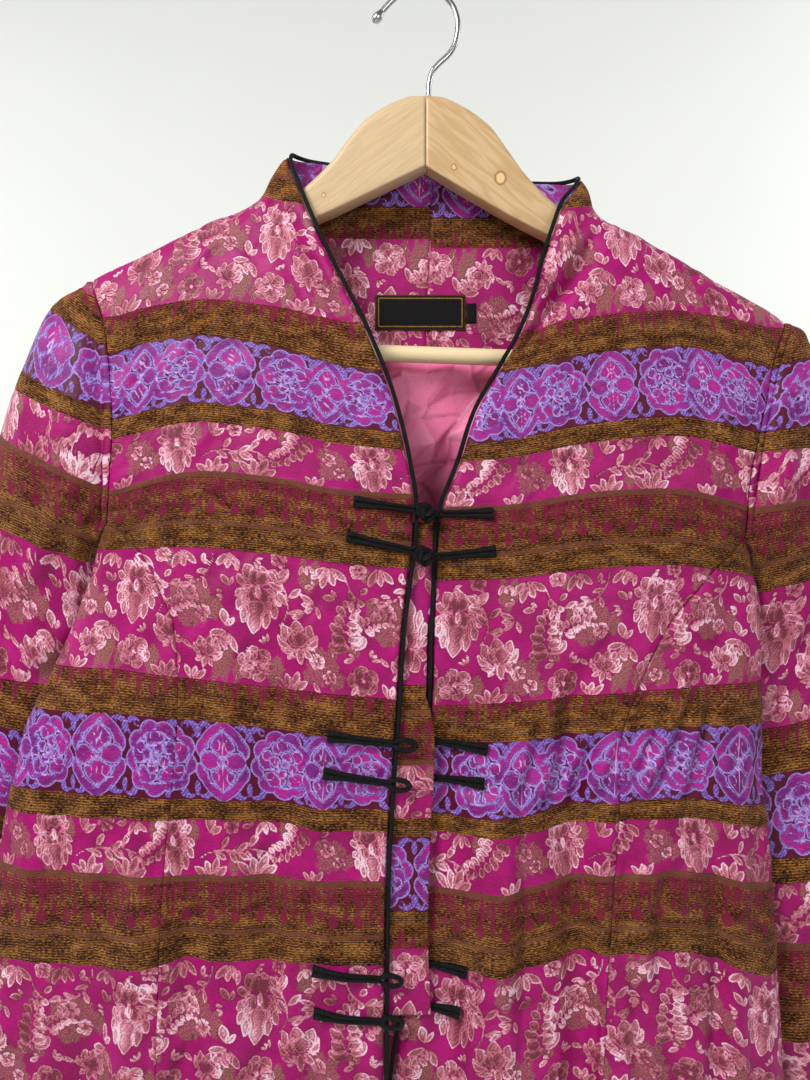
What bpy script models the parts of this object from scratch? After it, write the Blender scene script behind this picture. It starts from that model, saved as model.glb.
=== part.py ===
"""Tang jacket on a wooden hanger.

A woman's jacket with princess seams, set-in sleeves, a collar cut in one with the
body, piped front edges, an underlap strip and six pairs of corded frogs, hanging
flat on a round-topped wooden hanger with a trouser bar and a wire hook.

Frame: metres, +Z up, the fronts face -Y and +X is to the right of someone who
looks at them. The origin is the inner top of the hook, where it hangs.
"left" and "right" below are -X and +X. All tables are in millimetres.
"""

import math

import bmesh
import bpy
import numpy as np
from mathutils import Vector

MM = 0.001

# ---- driving sizes -------------------------------------------------------------------
HEM_Z = -765.0 * MM            # hem, below the hang point
CLOTH = 2.0 * MM               # outer cloth with its backing
THIN_CLOTH = 1.2 * MM          # facing, lining and underlap
LABEL_CLOTH = 0.8 * MM
SEAM = 0.3 * MM                # parting between neighbouring pieces
PRINCESS_SEAM = 0.6 * MM       # parting along the seams that folds cross
SEAM_INSET = 0.5 * MM          # half the parting where two pieces meet at an angle
UNDERARM_CLEAR = 1.4 * MM      # more of it where sleeve and body part at the underarm
PIPING_R = 1.7 * MM
TIP_EASE = 1.2 * MM            # extra parting from the piping where the front turns edge on
TIP_EASE_DEPTH = 22 * MM       # the ease fades out this far below the tip
CORD_R = 1.05 * MM             # one of the two cords of a frog
KNOT_R = 5.6 * MM
HANGER_HALF = 7.0 * MM         # half the thickness of the wood
BAR_R = 5.2 * MM
WIRE_R = 1.75 * MM
MID_X = 3.0 * MM               # centre line of the body
ROUNDNESS = 3.0                # exponent of a level's plan; 2 would be an ellipse


def table(names, *rows):
    """Columns of millimetres, by name, in metres."""
    columns = np.array(rows, dtype=float).T * MM
    return dict(zip(names.split(), columns))


# Piped front edge: x of the piping's centre at each level z.
EDGE = {
    "left": table(
        "z x",
        (-103.5, -80.3), (-112, -79.8), (-119, -77.6), (-142, -68.8), (-178, -52.5),
        (-220, -31.6), (-260, -16), (-302, -6), (-325, -2.8), (-347, -3.2),
        (-370, -6.4), (-400, -10), (-450, -13.2), (-504, -17), (-551, -19.3),
        (-600, -20), (-765, -21),
    ),
    "right": table(
        "z x",
        (-118.5, 99.2), (-125, 96), (-138, 87), (-151, 82), (-176, 73.6),
        (-199, 67.6), (-221, 59), (-241, 47.8), (-271, 31), (-300, 21.6),
        (-327, 11.2), (-338, 8.8), (-378, 7), (-400, 6), (-435, 5.2),
        (-466, 3), (-502, 1.6), (-550, -2), (-604, -8), (-660, -17.5), (-765, -26),
    ),
}

# Outline of the body seen from the front: collar side, shoulder, then, past the
# shoulder point, how far the girth would reach inside the sleeve, and the side edge.
OUTLINE = {
    "left": table(
        "z x",
        (-103.5, -80.3), (-111, -87), (-120, -92.7), (-132, -99), (-138, -107),
        (-148, -130), (-158, -152), (-169.5, -174.6), (-184.6, -205.7), (-200, -219),
        (-240, -225), (-290, -221), (-325, -208), (-343.5, -199.5), (-354, -201.7),
        (-381, -209.6), (-424, -227.5), (-463, -245.8), (-496, -254.6), (-529, -262),
        (-600, -270), (-765, -276),
    ),
    "right": table(
        "z x",
        (-118.5, 99.2), (-124, 103.8), (-130, 106), (-137, 107.7), (-146, 114.6),
        (-158, 138.6), (-171, 161), (-184, 183), (-196.5, 206), (-211, 228.7),
        (-225, 238), (-260, 241), (-300, 231), (-335, 212), (-350, 204.3),
        (-357, 205), (-380, 210.4), (-410, 212.3), (-447, 214.2), (-495, 215),
        (-549, 221), (-616, 224.3), (-667, 226.8), (-765, 231),
    ),
}

# Armhole, from the shoulder point to where the princess seam leaves it.
ARMHOLE = {
    "left": table(
        "z x",
        (-184.6, -205.7), (-198, -200), (-216.5, -194), (-247.5, -189.6),
        (-272, -187.8), (-309, -189.8), (-336, -193.5), (-343.5, -199.5),
    ),
    "right": table(
        "z x",
        (-211, 228.7), (-225, 221.8), (-240, 216.4), (-260, 212), (-291, 204.8),
        (-320, 200.6), (-343, 200.6), (-350, 204.3),
    ),
}

# Princess seam of the front, from the armhole to the hem.
PRINCESS = {
    "left": table(
        "z x",
        (-336, -193.5), (-343.5, -181), (-357, -168), (-381, -155), (-396, -148.5),
        (-418, -145.3), (-442, -144.4), (-490, -147), (-532, -151), (-602, -154.7),
        (-765, -158),
    ),
    "right": table(
        "z x",
        (-343, 200.6), (-355, 190), (-363, 180), (-374, 169.4), (-397, 149),
        (-430, 131), (-471, 118), (-505, 117), (-532, 115), (-602, 110.3),
        (-765, 104),
    ),
}

# Half depths of the body on its centre line, and how far the right front's edge
# drops back below the third frog, where the underlap lies over it.
DEPTH = table(
    "z front back drop",
    (-103, 11, 16, 0), (-125, 14, 19, 0), (-160, 18, 21, 0), (-200, 22, 22, 0),
    (-280, 28, 22, 0), (-360, 31.5, 22, 0), (-422, 33, 22, 0), (-436, 33.5, 22, 4.6),
    (-450, 34, 22, 7.2), (-480, 34.2, 22, 9.5), (-765, 34.5, 22, 9.5),
)
DROP_WIDTH = 75 * MM           # the drop fades out this far from the edge

# Largest folds of the panels: forward is towards the viewer of that panel.
FOLDS = {
    "front_left": table(
        "x half_width forward z_top z_full",
        (-165, 34, 4.5, -400, -600), (-88, 30, -4.5, -420, -500),
        (-45, 24, 2.5, -480, -600), (-212, 26, -4, -440, -620),
    ),
    "front_right": table(
        "x half_width forward z_top z_full",
        (48, 30, 5, -430, -520), (88, 22, -6.5, -400, -500),
        (128, 26, 4, -440, -560), (176, 24, -6, -520, -640), (202, 16, 2.5, -560, -660),
    ),
    "back_left": table(
        "x half_width forward z_top z_full",
        (-60, 34, 4, -380, -600), (-125, 32, -4, -360, -560),
        (-185, 30, 3.5, -460, -640),
    ),
    "back_right": table(
        "x half_width forward z_top z_full",
        (42, 30, -3.5, -420, -600), (98, 34, 4.5, -360, -560),
        (160, 30, -4, -420, -620),
    ),
}

# Sleeve sections: where the section meets the outer and the inner edge of the sleeve,
# its middle's y, half its depth, and how far its front and back lean to the body.
SLEEVE = {
    "left": table(
        "outer_x outer_z inner_x inner_z mid_y half_depth lean",
        (-212.5, -187.5, -203.5, -345.0, 0.5, 14.5, 13), (-220, -191.5, -205, -346, 1, 18, 11),
        (-227, -196, -206.5, -348, 3, 21, 9.5), (-236.6, -204.7, -209, -352.5, 6, 25, 7),
        (-244, -217, -211.5, -358, 9.5, 28, 5), (-251.2, -230.6, -213, -364, 14, 30, 3),
        (-261, -251, -213, -373, 20, 31, 1), (-269.5, -272, -211.5, -385, 25, 31, 0),
        (-278, -295, -209, -400, 30, 29.5, 0), (-287, -322, -206, -420, 34, 27.5, 0),
        (-297, -356, -203.5, -444, 36, 25, 0), (-307, -398, -202, -470, 37, 23, 0),
        (-317, -446, -204, -500, 37, 22.5, 0), (-326, -498, -209.5, -535, 37, 22, 0),
        (-334.5, -552, -217, -580, 37, 22, 0), (-343, -606, -225.5, -627, 36.5, 21.5, 0),
        (-350.5, -660, -234, -676, 36, 21, 0), (-357, -706, -243, -718, 35.5, 20.5, 0),
        (-362, -748, -250, -757, 35, 20, 0),
    ),
    "right": table(
        "outer_x outer_z inner_x inner_z mid_y half_depth lean",
        (235.3, -212.4, 208.3, -351.5, 0.5, 14.5, 12), (239.5, -215.2, 210, -352.5, 1, 18, 10),
        (243, -218.5, 211.5, -354.5, 3, 21, 8), (247.5, -224.5, 213.5, -358.5, 6, 25, 6),
        (251.5, -235, 215.5, -364.5, 10, 28, 4), (256, -251, 216.5, -372, 15, 30, 2.5),
        (261, -271, 216.5, -382, 20.5, 31, 1), (266, -293, 214.5, -394, 26, 31, 0),
        (271, -318, 210.5, -409, 31, 29.5, 0), (275.5, -345, 204.5, -427, 34.5, 27.5, 0),
        (279.5, -376, 197, -448, 36.5, 25, 0), (283, -412, 189.5, -473, 37.5, 23, 0),
        (286.5, -456, 183.5, -504, 37.5, 22.5, 0), (290, -506, 181, -543, 37.5, 22, 0),
        (293.5, -558, 181.5, -587, 37, 22, 0), (297, -611, 184, -633, 36.5, 21.5, 0),
        (300, -664, 188, -680, 36, 21, 0), (302.5, -710, 192, -721, 35.5, 20.5, 0),
        (304.5, -752, 195, -760, 35, 20, 0),
    ),
}

# Underlap: sewn behind the left front, behind both fronts above, and over the right
# front below the third frog.
UNDERLAP = table(
    "z left right y",
    (-336, -16, 17, -27.4), (-360, -17, 13, -28.2), (-382, -20, 8.4, -28.8),
    (-400, -23, 3.9, -29.4), (-420, -24.5, 3.5, -29.9), (-434, -25.5, 3.1, -30.6),
    (-441, -26, 2.8, -31.2), (-447, -26.5, 5.6, -31.3), (-466, -28, 8.1, -31.3),
    (-504, -30, 6.5, -31.3), (-540, -31.5, 4.7, -31.3), (-578, -32.5, 4.1, -31.3),
    (-607, -33, 5.0, -31.3), (-627.5, -33, 5.8, -31.3),
)

# Neck facing on the back's inner face, and the lining below it.
FACING_END_Z = -225 * MM
FACING = {
    "left": table("z x", (-105, -58), (-120, -73), (-145, -76.5), (-180, -81), (-225, -84)),
    "right": table("z x", (-112, 72), (-120, 80), (-135, 86), (-150, 86), (-225, 86)),
}
FACING_COLUMNS = (0.0, 0.2, 0.4, 0.6, 0.8, 0.92, 1.0)
FACING_ROWS = 12
LINING_Z = (-226 * MM, -405 * MM)
LINING_X = (-84 * MM, 90 * MM)
LABEL_BOX = table("x z", (-29, -186.5), (30, -209.5))
TAB_BOX = table("x z", (30.5, -192), (37, -205))

# Centre back seam and the piping of the back collar.
CENTRE_BACK = table("z x", (-105, 7.5), (-150, 7.2), (-190, 5), (-300, 3.4), (-765, 3))
COLLAR_TOP = table(
    "x z",
    (-80.3, -103.5), (-70, -102.6), (-45, -103.6), (7, -107.5), (60, -113),
    (88, -116.4), (99.2, -118.5),
)

# Frogs: outer end, and where the two cords turn, of each half.
FROGS = table(
    "left_x left_z loop_x loop_z right_x right_z turn_x turn_z knot_x knot_z",
    (-39.5, -323.8, 7.5, -330, 42.5, -330.8, 9.5, -331, 2.8, -330.5),
    (-43.5, -344.3, 6, -355.5, 44, -353, 8, -356.5, 1, -356),
    (-54.6, -461.3, -3.4, -467.2, 39, -470, 5, -466, -4, -466),
    (-57.2, -483, -6.9, -490.6, 37, -490, 4.4, -488, -5.2, -488),
    (-63.4, -598.3, -11.6, -604.8, 26.8, -602, -5, -597, -15, -597),
    (-62.6, -622.9, -11.3, -629.4, 22.7, -626, -9, -621.5, -19, -621.5),
)
FASTENED = 2                   # rows, from the top, whose knot is through its loop
FROG_LOOP = (6.2 * MM, 3.1 * MM)   # half length and half height of a loop
FROG_TURN = (2.6 * MM, 1.7 * MM)   # the same where the cords only turn back
FROG_FLARE = 2.6 * MM          # half the spread of a half's outer end
FROG_FLARE_END = 12 * MM

# Hanger: top and bottom of the wood at stations along it.
WOOD = {
    "left": table(
        "x top bottom",
        (3.15, -67.8, -113.6), (-6, -68, -118), (-14, -70.6, -121.8), (-24, -75.4, -126.6),
        (-34.6, -82.8, -131.8), (-44, -93.4, -136.4), (-55, -108.4, -141.6),
        (-72, -124.6, -149), (-90, -134.6, -156.5), (-118, -147.6, -168),
        (-150, -162, -182), (-163.5, -168.2, -190), (-166, -169.4, -236.5),
        (-186, -179.4, -236.5), (-194, -184.2, -230),
    ),
    "right": table(
        "x top bottom",
        (3.45, -67.8, -113.8), (12, -68.2, -119), (22, -72, -125), (33.6, -78.6, -131.8),
        (44, -87, -138), (54, -100.6, -143.6), (64, -114.8, -149), (77, -129.2, -155.6),
        (97, -144.6, -165.6), (120, -154.6, -176.5), (150, -170.5, -192),
        (178.5, -186.5, -208), (181, -188, -247), (204, -201, -247), (213, -207, -240),
    ),
}
WOOD_TOP_ROUND = 6 * MM
WOOD_EDGE_ROUND = 1.2 * MM
BAR_ENDS = table("x z", (-162.8, -223.8), (177.6, -236.2))

HOOK = table(
    "x z thickness",
    (-29.3, -20.4, 0.5), (-28.5, -19.3, 1.5), (-26.7, -17.2, 1.75), (-25, -15, 1.35),
    (-24, -13.6, 1.0), (-21.2, -10.4, 1.0), (-15.6, -5.0, 1.0), (-8.5, -0.6, 1.0),
    (0, 1.75, 1.0), (8.5, 0.6, 1.0), (16, -4.4, 1.0), (21.6, -12, 1.0),
    (23.9, -22, 1.0), (22.6, -32, 1.0), (18.6, -40, 1.0), (12.4, -46, 1.0),
    (8, -51, 1.0), (6, -57, 1.0), (5.4, -62, 1.0), (5.4, -67.4, 1.0),
)
HOOK["thickness"] = HOOK["thickness"] / MM

# ---- resolution ----------------------------------------------------------------------
UPPER_ROWS = 13                # rows of a panel above the underarm
LOWER_ROWS = 16                # rows from the underarm to the hem
SLEEVE_SIDES = 20
UNDERARM = {"left": -343.5 * MM, "right": -350 * MM}
TIP = {"left": (-80.3 * MM, -103.5 * MM), "right": (99.2 * MM, -118.5 * MM)}
SIGN = {"left": -1.0, "right": 1.0}
FACING_LIFT = CLOTH / 2 + 2 * SEAM + THIN_CLOTH / 2
LABEL_LIFT = FACING_LIFT + THIN_CLOTH / 2 + SEAM + LABEL_CLOTH / 2


# ---- curves --------------------------------------------------------------------------
def slopes(x, y):
    """Tangents of a monotone cubic through the points, so that it never overshoots."""
    step = np.diff(x)
    secant = np.diff(y) / step
    tangent = np.zeros(len(x))
    tangent[0] = secant[0]
    tangent[-1] = secant[-1]
    for i in range(1, len(x) - 1):
        if secant[i - 1] * secant[i] > 0:
            w_a = 2 * step[i] + step[i - 1]
            w_b = step[i] + 2 * step[i - 1]
            tangent[i] = (w_a + w_b) / (w_a / secant[i - 1] + w_b / secant[i])
    return tangent


def read(columns, name, key, at="z"):
    """Value of a column at a place of another, on a smooth curve through the rows."""
    x = columns[at]
    y = columns[name]
    if x[0] > x[-1]:
        x = x[::-1]
        y = y[::-1]
    key = min(max(key, x[0]), x[-1])
    i = min(max(int(np.searchsorted(x, key)) - 1, 0), len(x) - 2)
    tangent = slopes(x, y)
    width = x[i + 1] - x[i]
    t = (key - x[i]) / width
    rise = y[i] * (1 + 2 * t) * (1 - t) ** 2 + y[i + 1] * t * t * (3 - 2 * t)
    return rise + width * (tangent[i] * t * (1 - t) ** 2 - tangent[i + 1] * t * t * (1 - t))


def smooth_step(t):
    t = min(max(t, 0.0), 1.0)
    return t * t * (3 - 2 * t)


def spread(start, end, count):
    return [start + (end - start) * i / count for i in range(count)]


def beside(line, side, z, clear):
    """Point beside a line of the front, away from the body's middle by a clearance."""
    step = 1.5 * MM
    slope = (read(line[side], "x", z - step) - read(line[side], "x", z + step)) / (2 * step)
    length = math.hypot(1.0, slope)
    x = read(line[side], "x", z) + SIGN[side] * clear / length
    return x, z + SIGN[side] * clear * slope / length


# ---- the body's form -----------------------------------------------------------------
def fullness(side, x, z):
    """Share of the centre depth that a level of the body has at x."""
    reach = read(OUTLINE[side], "x", z) - MID_X
    share = min(max((x - MID_X) / reach, 0.0), 1.0)
    return math.sqrt(max(1.0 - share ** ROUNDNESS, 0.0))


def fold_depth(name, x, z, share):
    """How far the panel's folds bring it forward; they die out at the side edge."""
    folds = FOLDS[name]
    depth = 0.0
    for i in range(len(folds["x"])):
        across = abs(x - folds["x"][i]) / folds["half_width"][i]
        down = (folds["z_top"][i] - z) / (folds["z_top"][i] - folds["z_full"][i])
        if across < 1.0:
            depth += folds["forward"][i] * smooth_step(1.0 - across) * smooth_step(down)
    return depth * min(1.0, share * 1.4)


def front_y(side, x, z):
    share = fullness(side, x, z)
    y = read(DEPTH, "front", z) * share + fold_depth("front_" + side, x, z, share)
    if side == "right":
        past_edge = (x - read(EDGE["right"], "x", z)) / DROP_WIDTH
        y -= read(DEPTH, "drop", z) * (1.0 - smooth_step(past_edge))
    return -max(y, SEAM_INSET)


def back_y(side, x, z):
    if SIGN[side] * (x - MID_X) < 0:
        share = 1.0
    else:
        share = fullness(side, x, z)
    y = read(DEPTH, "back", z) * share + fold_depth("back_" + side, x, z, share)
    return max(y, SEAM_INSET)


def lifted(surface, side, x, z, lift):
    """Point on a panel moved out along its normal, towards -Y when lift is positive."""
    step = 1.0 * MM
    slope_x = (surface(side, x + step, z) - surface(side, x - step, z)) / (2 * step)
    slope_z = (surface(side, x, z + step) - surface(side, x, z - step)) / (2 * step)
    normal = Vector((slope_x, -1.0, slope_z)).normalized()
    return Vector((x, surface(side, x, z), z)) + normal * lift


def top_line(side, x):
    """Height of the collar side and shoulder seam at x."""
    return read(OUTLINE[side], "z", x, at="x")


# ---- building ------------------------------------------------------------------------
def clear_scene():
    for thing in list(bpy.data.objects):
        bpy.data.objects.remove(thing, do_unlink=True)


def new_collection(name):
    group = bpy.data.collections.new(name)
    bpy.context.scene.collection.children.link(group)
    return group


def new_material(name, colour, roughness, metallic=0.0):
    material = bpy.data.materials.new(name)
    material.use_nodes = True
    shader = material.node_tree.nodes["Principled BSDF"]
    shader.inputs["Base Color"].default_value = (*colour, 1.0)
    shader.inputs["Roughness"].default_value = roughness
    shader.inputs["Metallic"].default_value = metallic
    return material


def add_object(name, data, material, group):
    data.materials.append(material)
    thing = bpy.data.objects.new(name, data)
    group.objects.link(thing)
    return thing


def loft_mesh(name, rings, closed=False, capped=False):
    """Mesh through rows of points that have the same count each."""
    count = len(rings[0])
    mesh = bmesh.new()
    rows = [[mesh.verts.new(point) for point in ring] for ring in rings]
    last = count if closed else count - 1
    for above, below in zip(rows, rows[1:]):
        for i in range(last):
            j = (i + 1) % count
            mesh.faces.new((above[i], above[j], below[j], below[i]))
    if capped:
        mesh.faces.new(rows[0])
        mesh.faces.new(reversed(rows[-1]))
    bmesh.ops.recalc_face_normals(mesh, faces=mesh.faces)
    data = bpy.data.meshes.new(name)
    mesh.to_mesh(data)
    mesh.free()
    data.shade_smooth()
    return data


def add_cloth(name, rings, wall, material, group, closed=False):
    """A wall of even thickness whose middle runs through the rows of points."""
    thing = add_object(name, loft_mesh(name, rings, closed), material, group)
    shell = thing.modifiers.new("Wall", "SOLIDIFY")
    shell.thickness = wall
    shell.offset = 0.0
    return thing


def add_cord(name, points, radius, material, group, radii=None, resolution=1, cyclic=False):
    """A round cord or wire through the points."""
    data = bpy.data.curves.new(name, "CURVE")
    data.dimensions = "3D"
    data.bevel_depth = radius
    data.bevel_resolution = resolution
    data.use_fill_caps = not cyclic
    line = data.splines.new("POLY")
    line.points.add(len(points) - 1)
    for i, point in enumerate(points):
        line.points[i].co = (*point, 1.0)
        if radii is not None:
            line.points[i].radius = radii[i]
    line.use_cyclic_u = cyclic
    return add_object(name, data, material, group)


# ---- panels --------------------------------------------------------------------------
def upper_fractions():
    """Row places from the shoulder to the underarm, close together at the shoulder."""
    first = 0.002
    rest = [first + (1 - first) * (i / (UPPER_ROWS - 1)) ** 1.55 for i in range(1, UPPER_ROWS)]
    return [0.0, first] + rest


def edge_levels(start, split):
    """Heights of a panel's rows at one of its edges."""
    upper = [start + (split - start) * f for f in upper_fractions()]
    lower = [split + (HEM_Z - split) * k / LOWER_ROWS for k in range(1, LOWER_ROWS + 1)]
    return upper + lower


def panel_rows(side, surface, start, inner, outer, top, columns, split):
    """Rows of a front or back panel.

    inner and outer give the panel's edges as functions of z, top gives its upper edge
    as a function of x. start holds the upper corners' z, and split the lower ones'
    z at the underarm, below which the rows run level.
    """
    inner_top = inner(start[0])
    outer_top = outer(start[1])
    fractions = upper_fractions() + [1.0] * LOWER_ROWS
    levels = zip(fractions, edge_levels(start[0], split[0]), edge_levels(start[1], split[1]))
    rows = []
    for f, inner_z, outer_z in levels:
        near = inner(inner_z)
        far = outer(outer_z)
        row = []
        for u in columns:
            top_x = inner_top[0] + (outer_top[0] - inner_top[0]) * u
            chord = inner_top[1] + (outer_top[1] - inner_top[1]) * u
            x = near[0] + (far[0] - near[0]) * u
            z = near[1] + (far[1] - near[1]) * u + (top(top_x) - chord) * (1 - f) ** 2
            row.append((x, surface(side, x, z), z))
        rows.append(row)
    return rows


def edge_clear(side, z):
    """Distance of a front's edge from the middle of its piping."""
    eased = 1.0 - smooth_step((TIP[side][1] - z) / TIP_EASE_DEPTH)
    return PIPING_R + SEAM + TIP_EASE * eased


def front_rows(side):
    """Centre front, from the piping to the armhole and the princess seam."""
    sign = SIGN[side]
    armhole_end = PRINCESS[side]["z"][0]
    shoulder = ARMHOLE[side]["z"][0]

    def inner(z):
        return beside(EDGE, side, z, edge_clear(side, z))

    def outer(z):
        if z > armhole_end:
            return read(ARMHOLE[side], "x", z) - sign * SEAM_INSET, z
        return beside(PRINCESS, side, z, -PRINCESS_SEAM / 2)

    start = (TIP[side][1] - edge_clear(side, TIP[side][1]), shoulder)
    first_x = inner(start[0])[0]

    def top(x):
        return top_line(side, x) - blend_to_tip(x, first_x)

    def blend_to_tip(x, corner):
        gap = top_line(side, corner) - inner(start[0])[1]
        return gap * max(0.0, 1.0 - abs(x - corner) / (20 * MM))

    columns = [0.0, 0.05, 0.1, 0.15, 0.22, 0.31, 0.41, 0.51, 0.61, 0.71, 0.81, 0.91, 1.0]
    return panel_rows(
        side, front_y, start, inner, outer, top, columns, (armhole_end, armhole_end)
    )


def side_columns():
    """Column places that close up where the cloth turns round the side edge."""
    return [0.0, 0.25, 0.5, 0.72, 0.87, 0.955, 0.991, 1.0]


def side_front_rows(side):
    """Side front, from the princess seam to the side seam."""
    top_inner = PRINCESS[side]["z"][0]
    top_outer = UNDERARM[side] - SEAM_INSET
    rows = []
    for k in range(LOWER_ROWS + 1):
        level = top_inner + (HEM_Z - top_inner) * k / LOWER_ROWS
        inner_x, inner_z = beside(PRINCESS, side, level, PRINCESS_SEAM / 2)
        outer_z = top_outer + (HEM_Z - top_outer) * k / LOWER_ROWS
        outer_x = read(OUTLINE[side], "x", outer_z)
        row = []
        for u in side_columns():
            x = inner_x + (outer_x - inner_x) * u
            z = inner_z + (outer_z - inner_z) * u
            row.append((x, front_y(side, x, z), z))
        rows.append(row)
    return rows


def back_rows(side):
    """One half of the back, from the centre seam to the armhole and the side seam."""
    sign = SIGN[side]
    clear = PIPING_R + SEAM
    shoulder = ARMHOLE[side]["z"][0]

    def inner(z):
        return read(CENTRE_BACK, "x", z) + sign * SEAM / 2, z

    def outer(z):
        if z > UNDERARM[side]:
            return read(ARMHOLE[side], "x", z) - sign * SEAM_INSET, z
        return read(OUTLINE[side], "x", z), z

    def top(x):
        if abs(x) < abs(TIP[side][0]):
            return read(COLLAR_TOP, "z", x, at="x") - clear
        return min(top_line(side, x), TIP[side][1] - clear)

    start_z = top(inner(COLLAR_TOP["z"][3])[0])
    middle = inner(start_z)[0]
    span = outer(shoulder)[0] - middle
    tip = (TIP[side][0] - middle) / span
    neck = (OUTLINE[side]["x"][4] - middle) / span
    columns = (
        spread(0.0, tip, 5) + spread(tip, neck, 2) + spread(neck, 0.9, 4)
        + [0.9, 0.96, 0.991, 1.0]
    )
    return panel_rows(
        side, back_y, (start_z, shoulder), inner, outer, top, columns,
        (UNDERARM[side], UNDERARM[side]),
    )


# ---- sleeves -------------------------------------------------------------------------
def armhole_ring(side, clear):
    """Points round the armhole, parted from the body, most of all at the underarm."""
    z_top = ARMHOLE[side]["z"][0]
    z_low = ARMHOLE[side]["z"][-1]
    ring = []
    for i in range(SLEEVE_SIDES):
        angle = 2 * math.pi * i / SLEEVE_SIDES
        z = z_top + (z_low - z_top) * (1 - math.cos(angle)) / 2
        x = read(ARMHOLE[side], "x", z)
        if i == 0 or 2 * i == SLEEVE_SIDES:
            y = 0.0
        elif angle < math.pi:
            y = front_y(side, x, z)
        else:
            y = back_y(side, x, z)
        low = smooth_step((-math.cos(angle) - 0.3) / 0.6)
        ring.append((x + SIGN[side] * (clear + UNDERARM_CLEAR * low), y, z))
    return ring


def sleeve_ring(section, sign):
    """One section: a flattened ring between the sleeve's outer and inner edges."""
    outer = Vector((section["outer_x"], 0.0, section["outer_z"]))
    inner = Vector((section["inner_x"], 0.0, section["inner_z"]))
    middle = (outer + inner) / 2
    half = (outer - inner) / 2
    to_body = Vector((-sign * abs(half.z), 0.0, abs(half.x))).normalized()
    ring = []
    for i in range(SLEEVE_SIDES):
        angle = 2 * math.pi * i / SLEEVE_SIDES
        sine = math.sin(angle)
        bulge = math.copysign(abs(sine) ** 0.85, sine)
        point = middle + half * math.cos(angle) + to_body * section["lean"] * abs(sine)
        point.y = section["mid_y"] - section["half_depth"] * bulge
        ring.append(point)
    return ring


def sleeve_rows(side):
    sections = SLEEVE[side]
    rows = [armhole_ring(side, SEAM_INSET), armhole_ring(side, 2.5 * MM)]
    for i in range(len(sections["outer_x"])):
        section = {name: column[i] for name, column in sections.items()}
        rows.append(sleeve_ring(section, SIGN[side]))
    return rows


# ---- inside pieces -------------------------------------------------------------------
def underlap_rows():
    rows = []
    levels = UNDERLAP["z"]
    for z, left, right, y in zip(levels, UNDERLAP["left"], UNDERLAP["right"], UNDERLAP["y"]):
        rows.append([(left + (right - left) * u, y, z) for u in (0.0, 0.3, 0.65, 1.0)])
    return rows


def facing_rows(side):
    """One half of the neck facing, whose top follows the collar."""
    middle_top = COLLAR_TOP["z"][3]
    top = middle_top - PIPING_R - 2 * SEAM
    rows = []
    for k in range(FACING_ROWS + 1):
        share = 1 - k / FACING_ROWS
        level = FACING_END_Z + (top - FACING_END_Z) * share
        start = read(CENTRE_BACK, "x", level) + SIGN[side] * SEAM / 2
        reach = read(FACING[side], "x", level)
        row = []
        for u in FACING_COLUMNS:
            x = start + (reach - start) * u
            z = level + (read(COLLAR_TOP, "z", x, at="x") - middle_top) * share
            row.append(lifted(back_y, side, x, z, FACING_LIFT))
        rows.append(row)
    return rows


def patch_rows(x_range, z_range, columns, rows, lift):
    """Rows of a piece that lies inside the back, over both of its halves."""
    grid = []
    for k in range(rows + 1):
        z = z_range[0] + (z_range[1] - z_range[0]) * k / rows
        line = []
        for i in range(columns + 1):
            x = x_range[0] + (x_range[1] - x_range[0]) * i / columns
            side = "left" if x < MID_X else "right"
            line.append(lifted(back_y, side, x, z, lift))
        grid.append(line)
    return grid


# ---- piping and frogs ----------------------------------------------------------------
def edge_points(side):
    """Centre of the piping up one front edge, level with the rows of the front."""
    points = []
    top = TIP[side][1] - edge_clear(side, TIP[side][1])
    for z in reversed(edge_levels(top, PRINCESS[side]["z"][0])[2:]):
        x, panel_z = beside(EDGE, side, z, edge_clear(side, z))
        points.append(Vector((read(EDGE[side], "x", z), front_y(side, x, panel_z), z)))
    return points


def collar_points():
    """Centre of the piping along the back of the collar, from left to right."""
    points = []
    left = TIP["left"][0]
    right = TIP["right"][0]
    for angle in spread(0.0, math.pi, 18)[1:]:
        x = (left + right) / 2 - (right - left) / 2 * math.cos(angle)
        side = "left" if x < MID_X else "right"
        z = read(COLLAR_TOP, "z", x, at="x")
        points.append(Vector((x, back_y(side, x, z), z)))
    return points


def piping_points():
    tips = [Vector((TIP[side][0], 0.0, TIP[side][1] + 0.6 * MM)) for side in ("left", "right")]
    up_left = edge_points("left")
    down_right = list(reversed(edge_points("right")))
    return up_left + [tips[0]] + collar_points() + [tips[1]] + down_right


def cord_height(side, x, z):
    """y of a frog cord's centre that lies on the front, or passes over its piping."""
    outward = SIGN[side] * (x - read(EDGE[side], "x", z))
    on_cloth = CLOTH / 2 + 3 * SEAM + CORD_R
    on_piping = PIPING_R + SEAM + CORD_R
    rise = on_piping + (on_cloth - on_piping) * smooth_step((outward - 3 * MM) / (5 * MM))
    steady_x = x if outward > 0 else read(EDGE[side], "x", z)
    return front_y(side, steady_x, z) - rise


def frog_half(length, loop):
    """One cord of a half, from its flared end to the far point of its loop.

    Each point is how far along it lies and how far from the middle line.
    """
    beside_middle = CORD_R + SEAM
    straight = length - 2 * loop[0]
    path = []
    for share in (0.0, 0.4, 1.0):
        flare = 1 - smooth_step(share)
        path.append((FROG_FLARE_END * share, beside_middle + (FROG_FLARE - CORD_R) * flare))
    path += [(straight * 0.6, beside_middle), (straight, beside_middle)]
    for turn in (0.2, 0.45, 0.7, 0.88):
        angle = math.pi * turn
        wide = loop[1] * math.sin(angle)
        if turn < 0.5:
            wide = max(beside_middle, wide)
        path.append((straight + loop[0] * (1 - math.cos(angle)), wide))
    return path + [(length, 0.0)]


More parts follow.
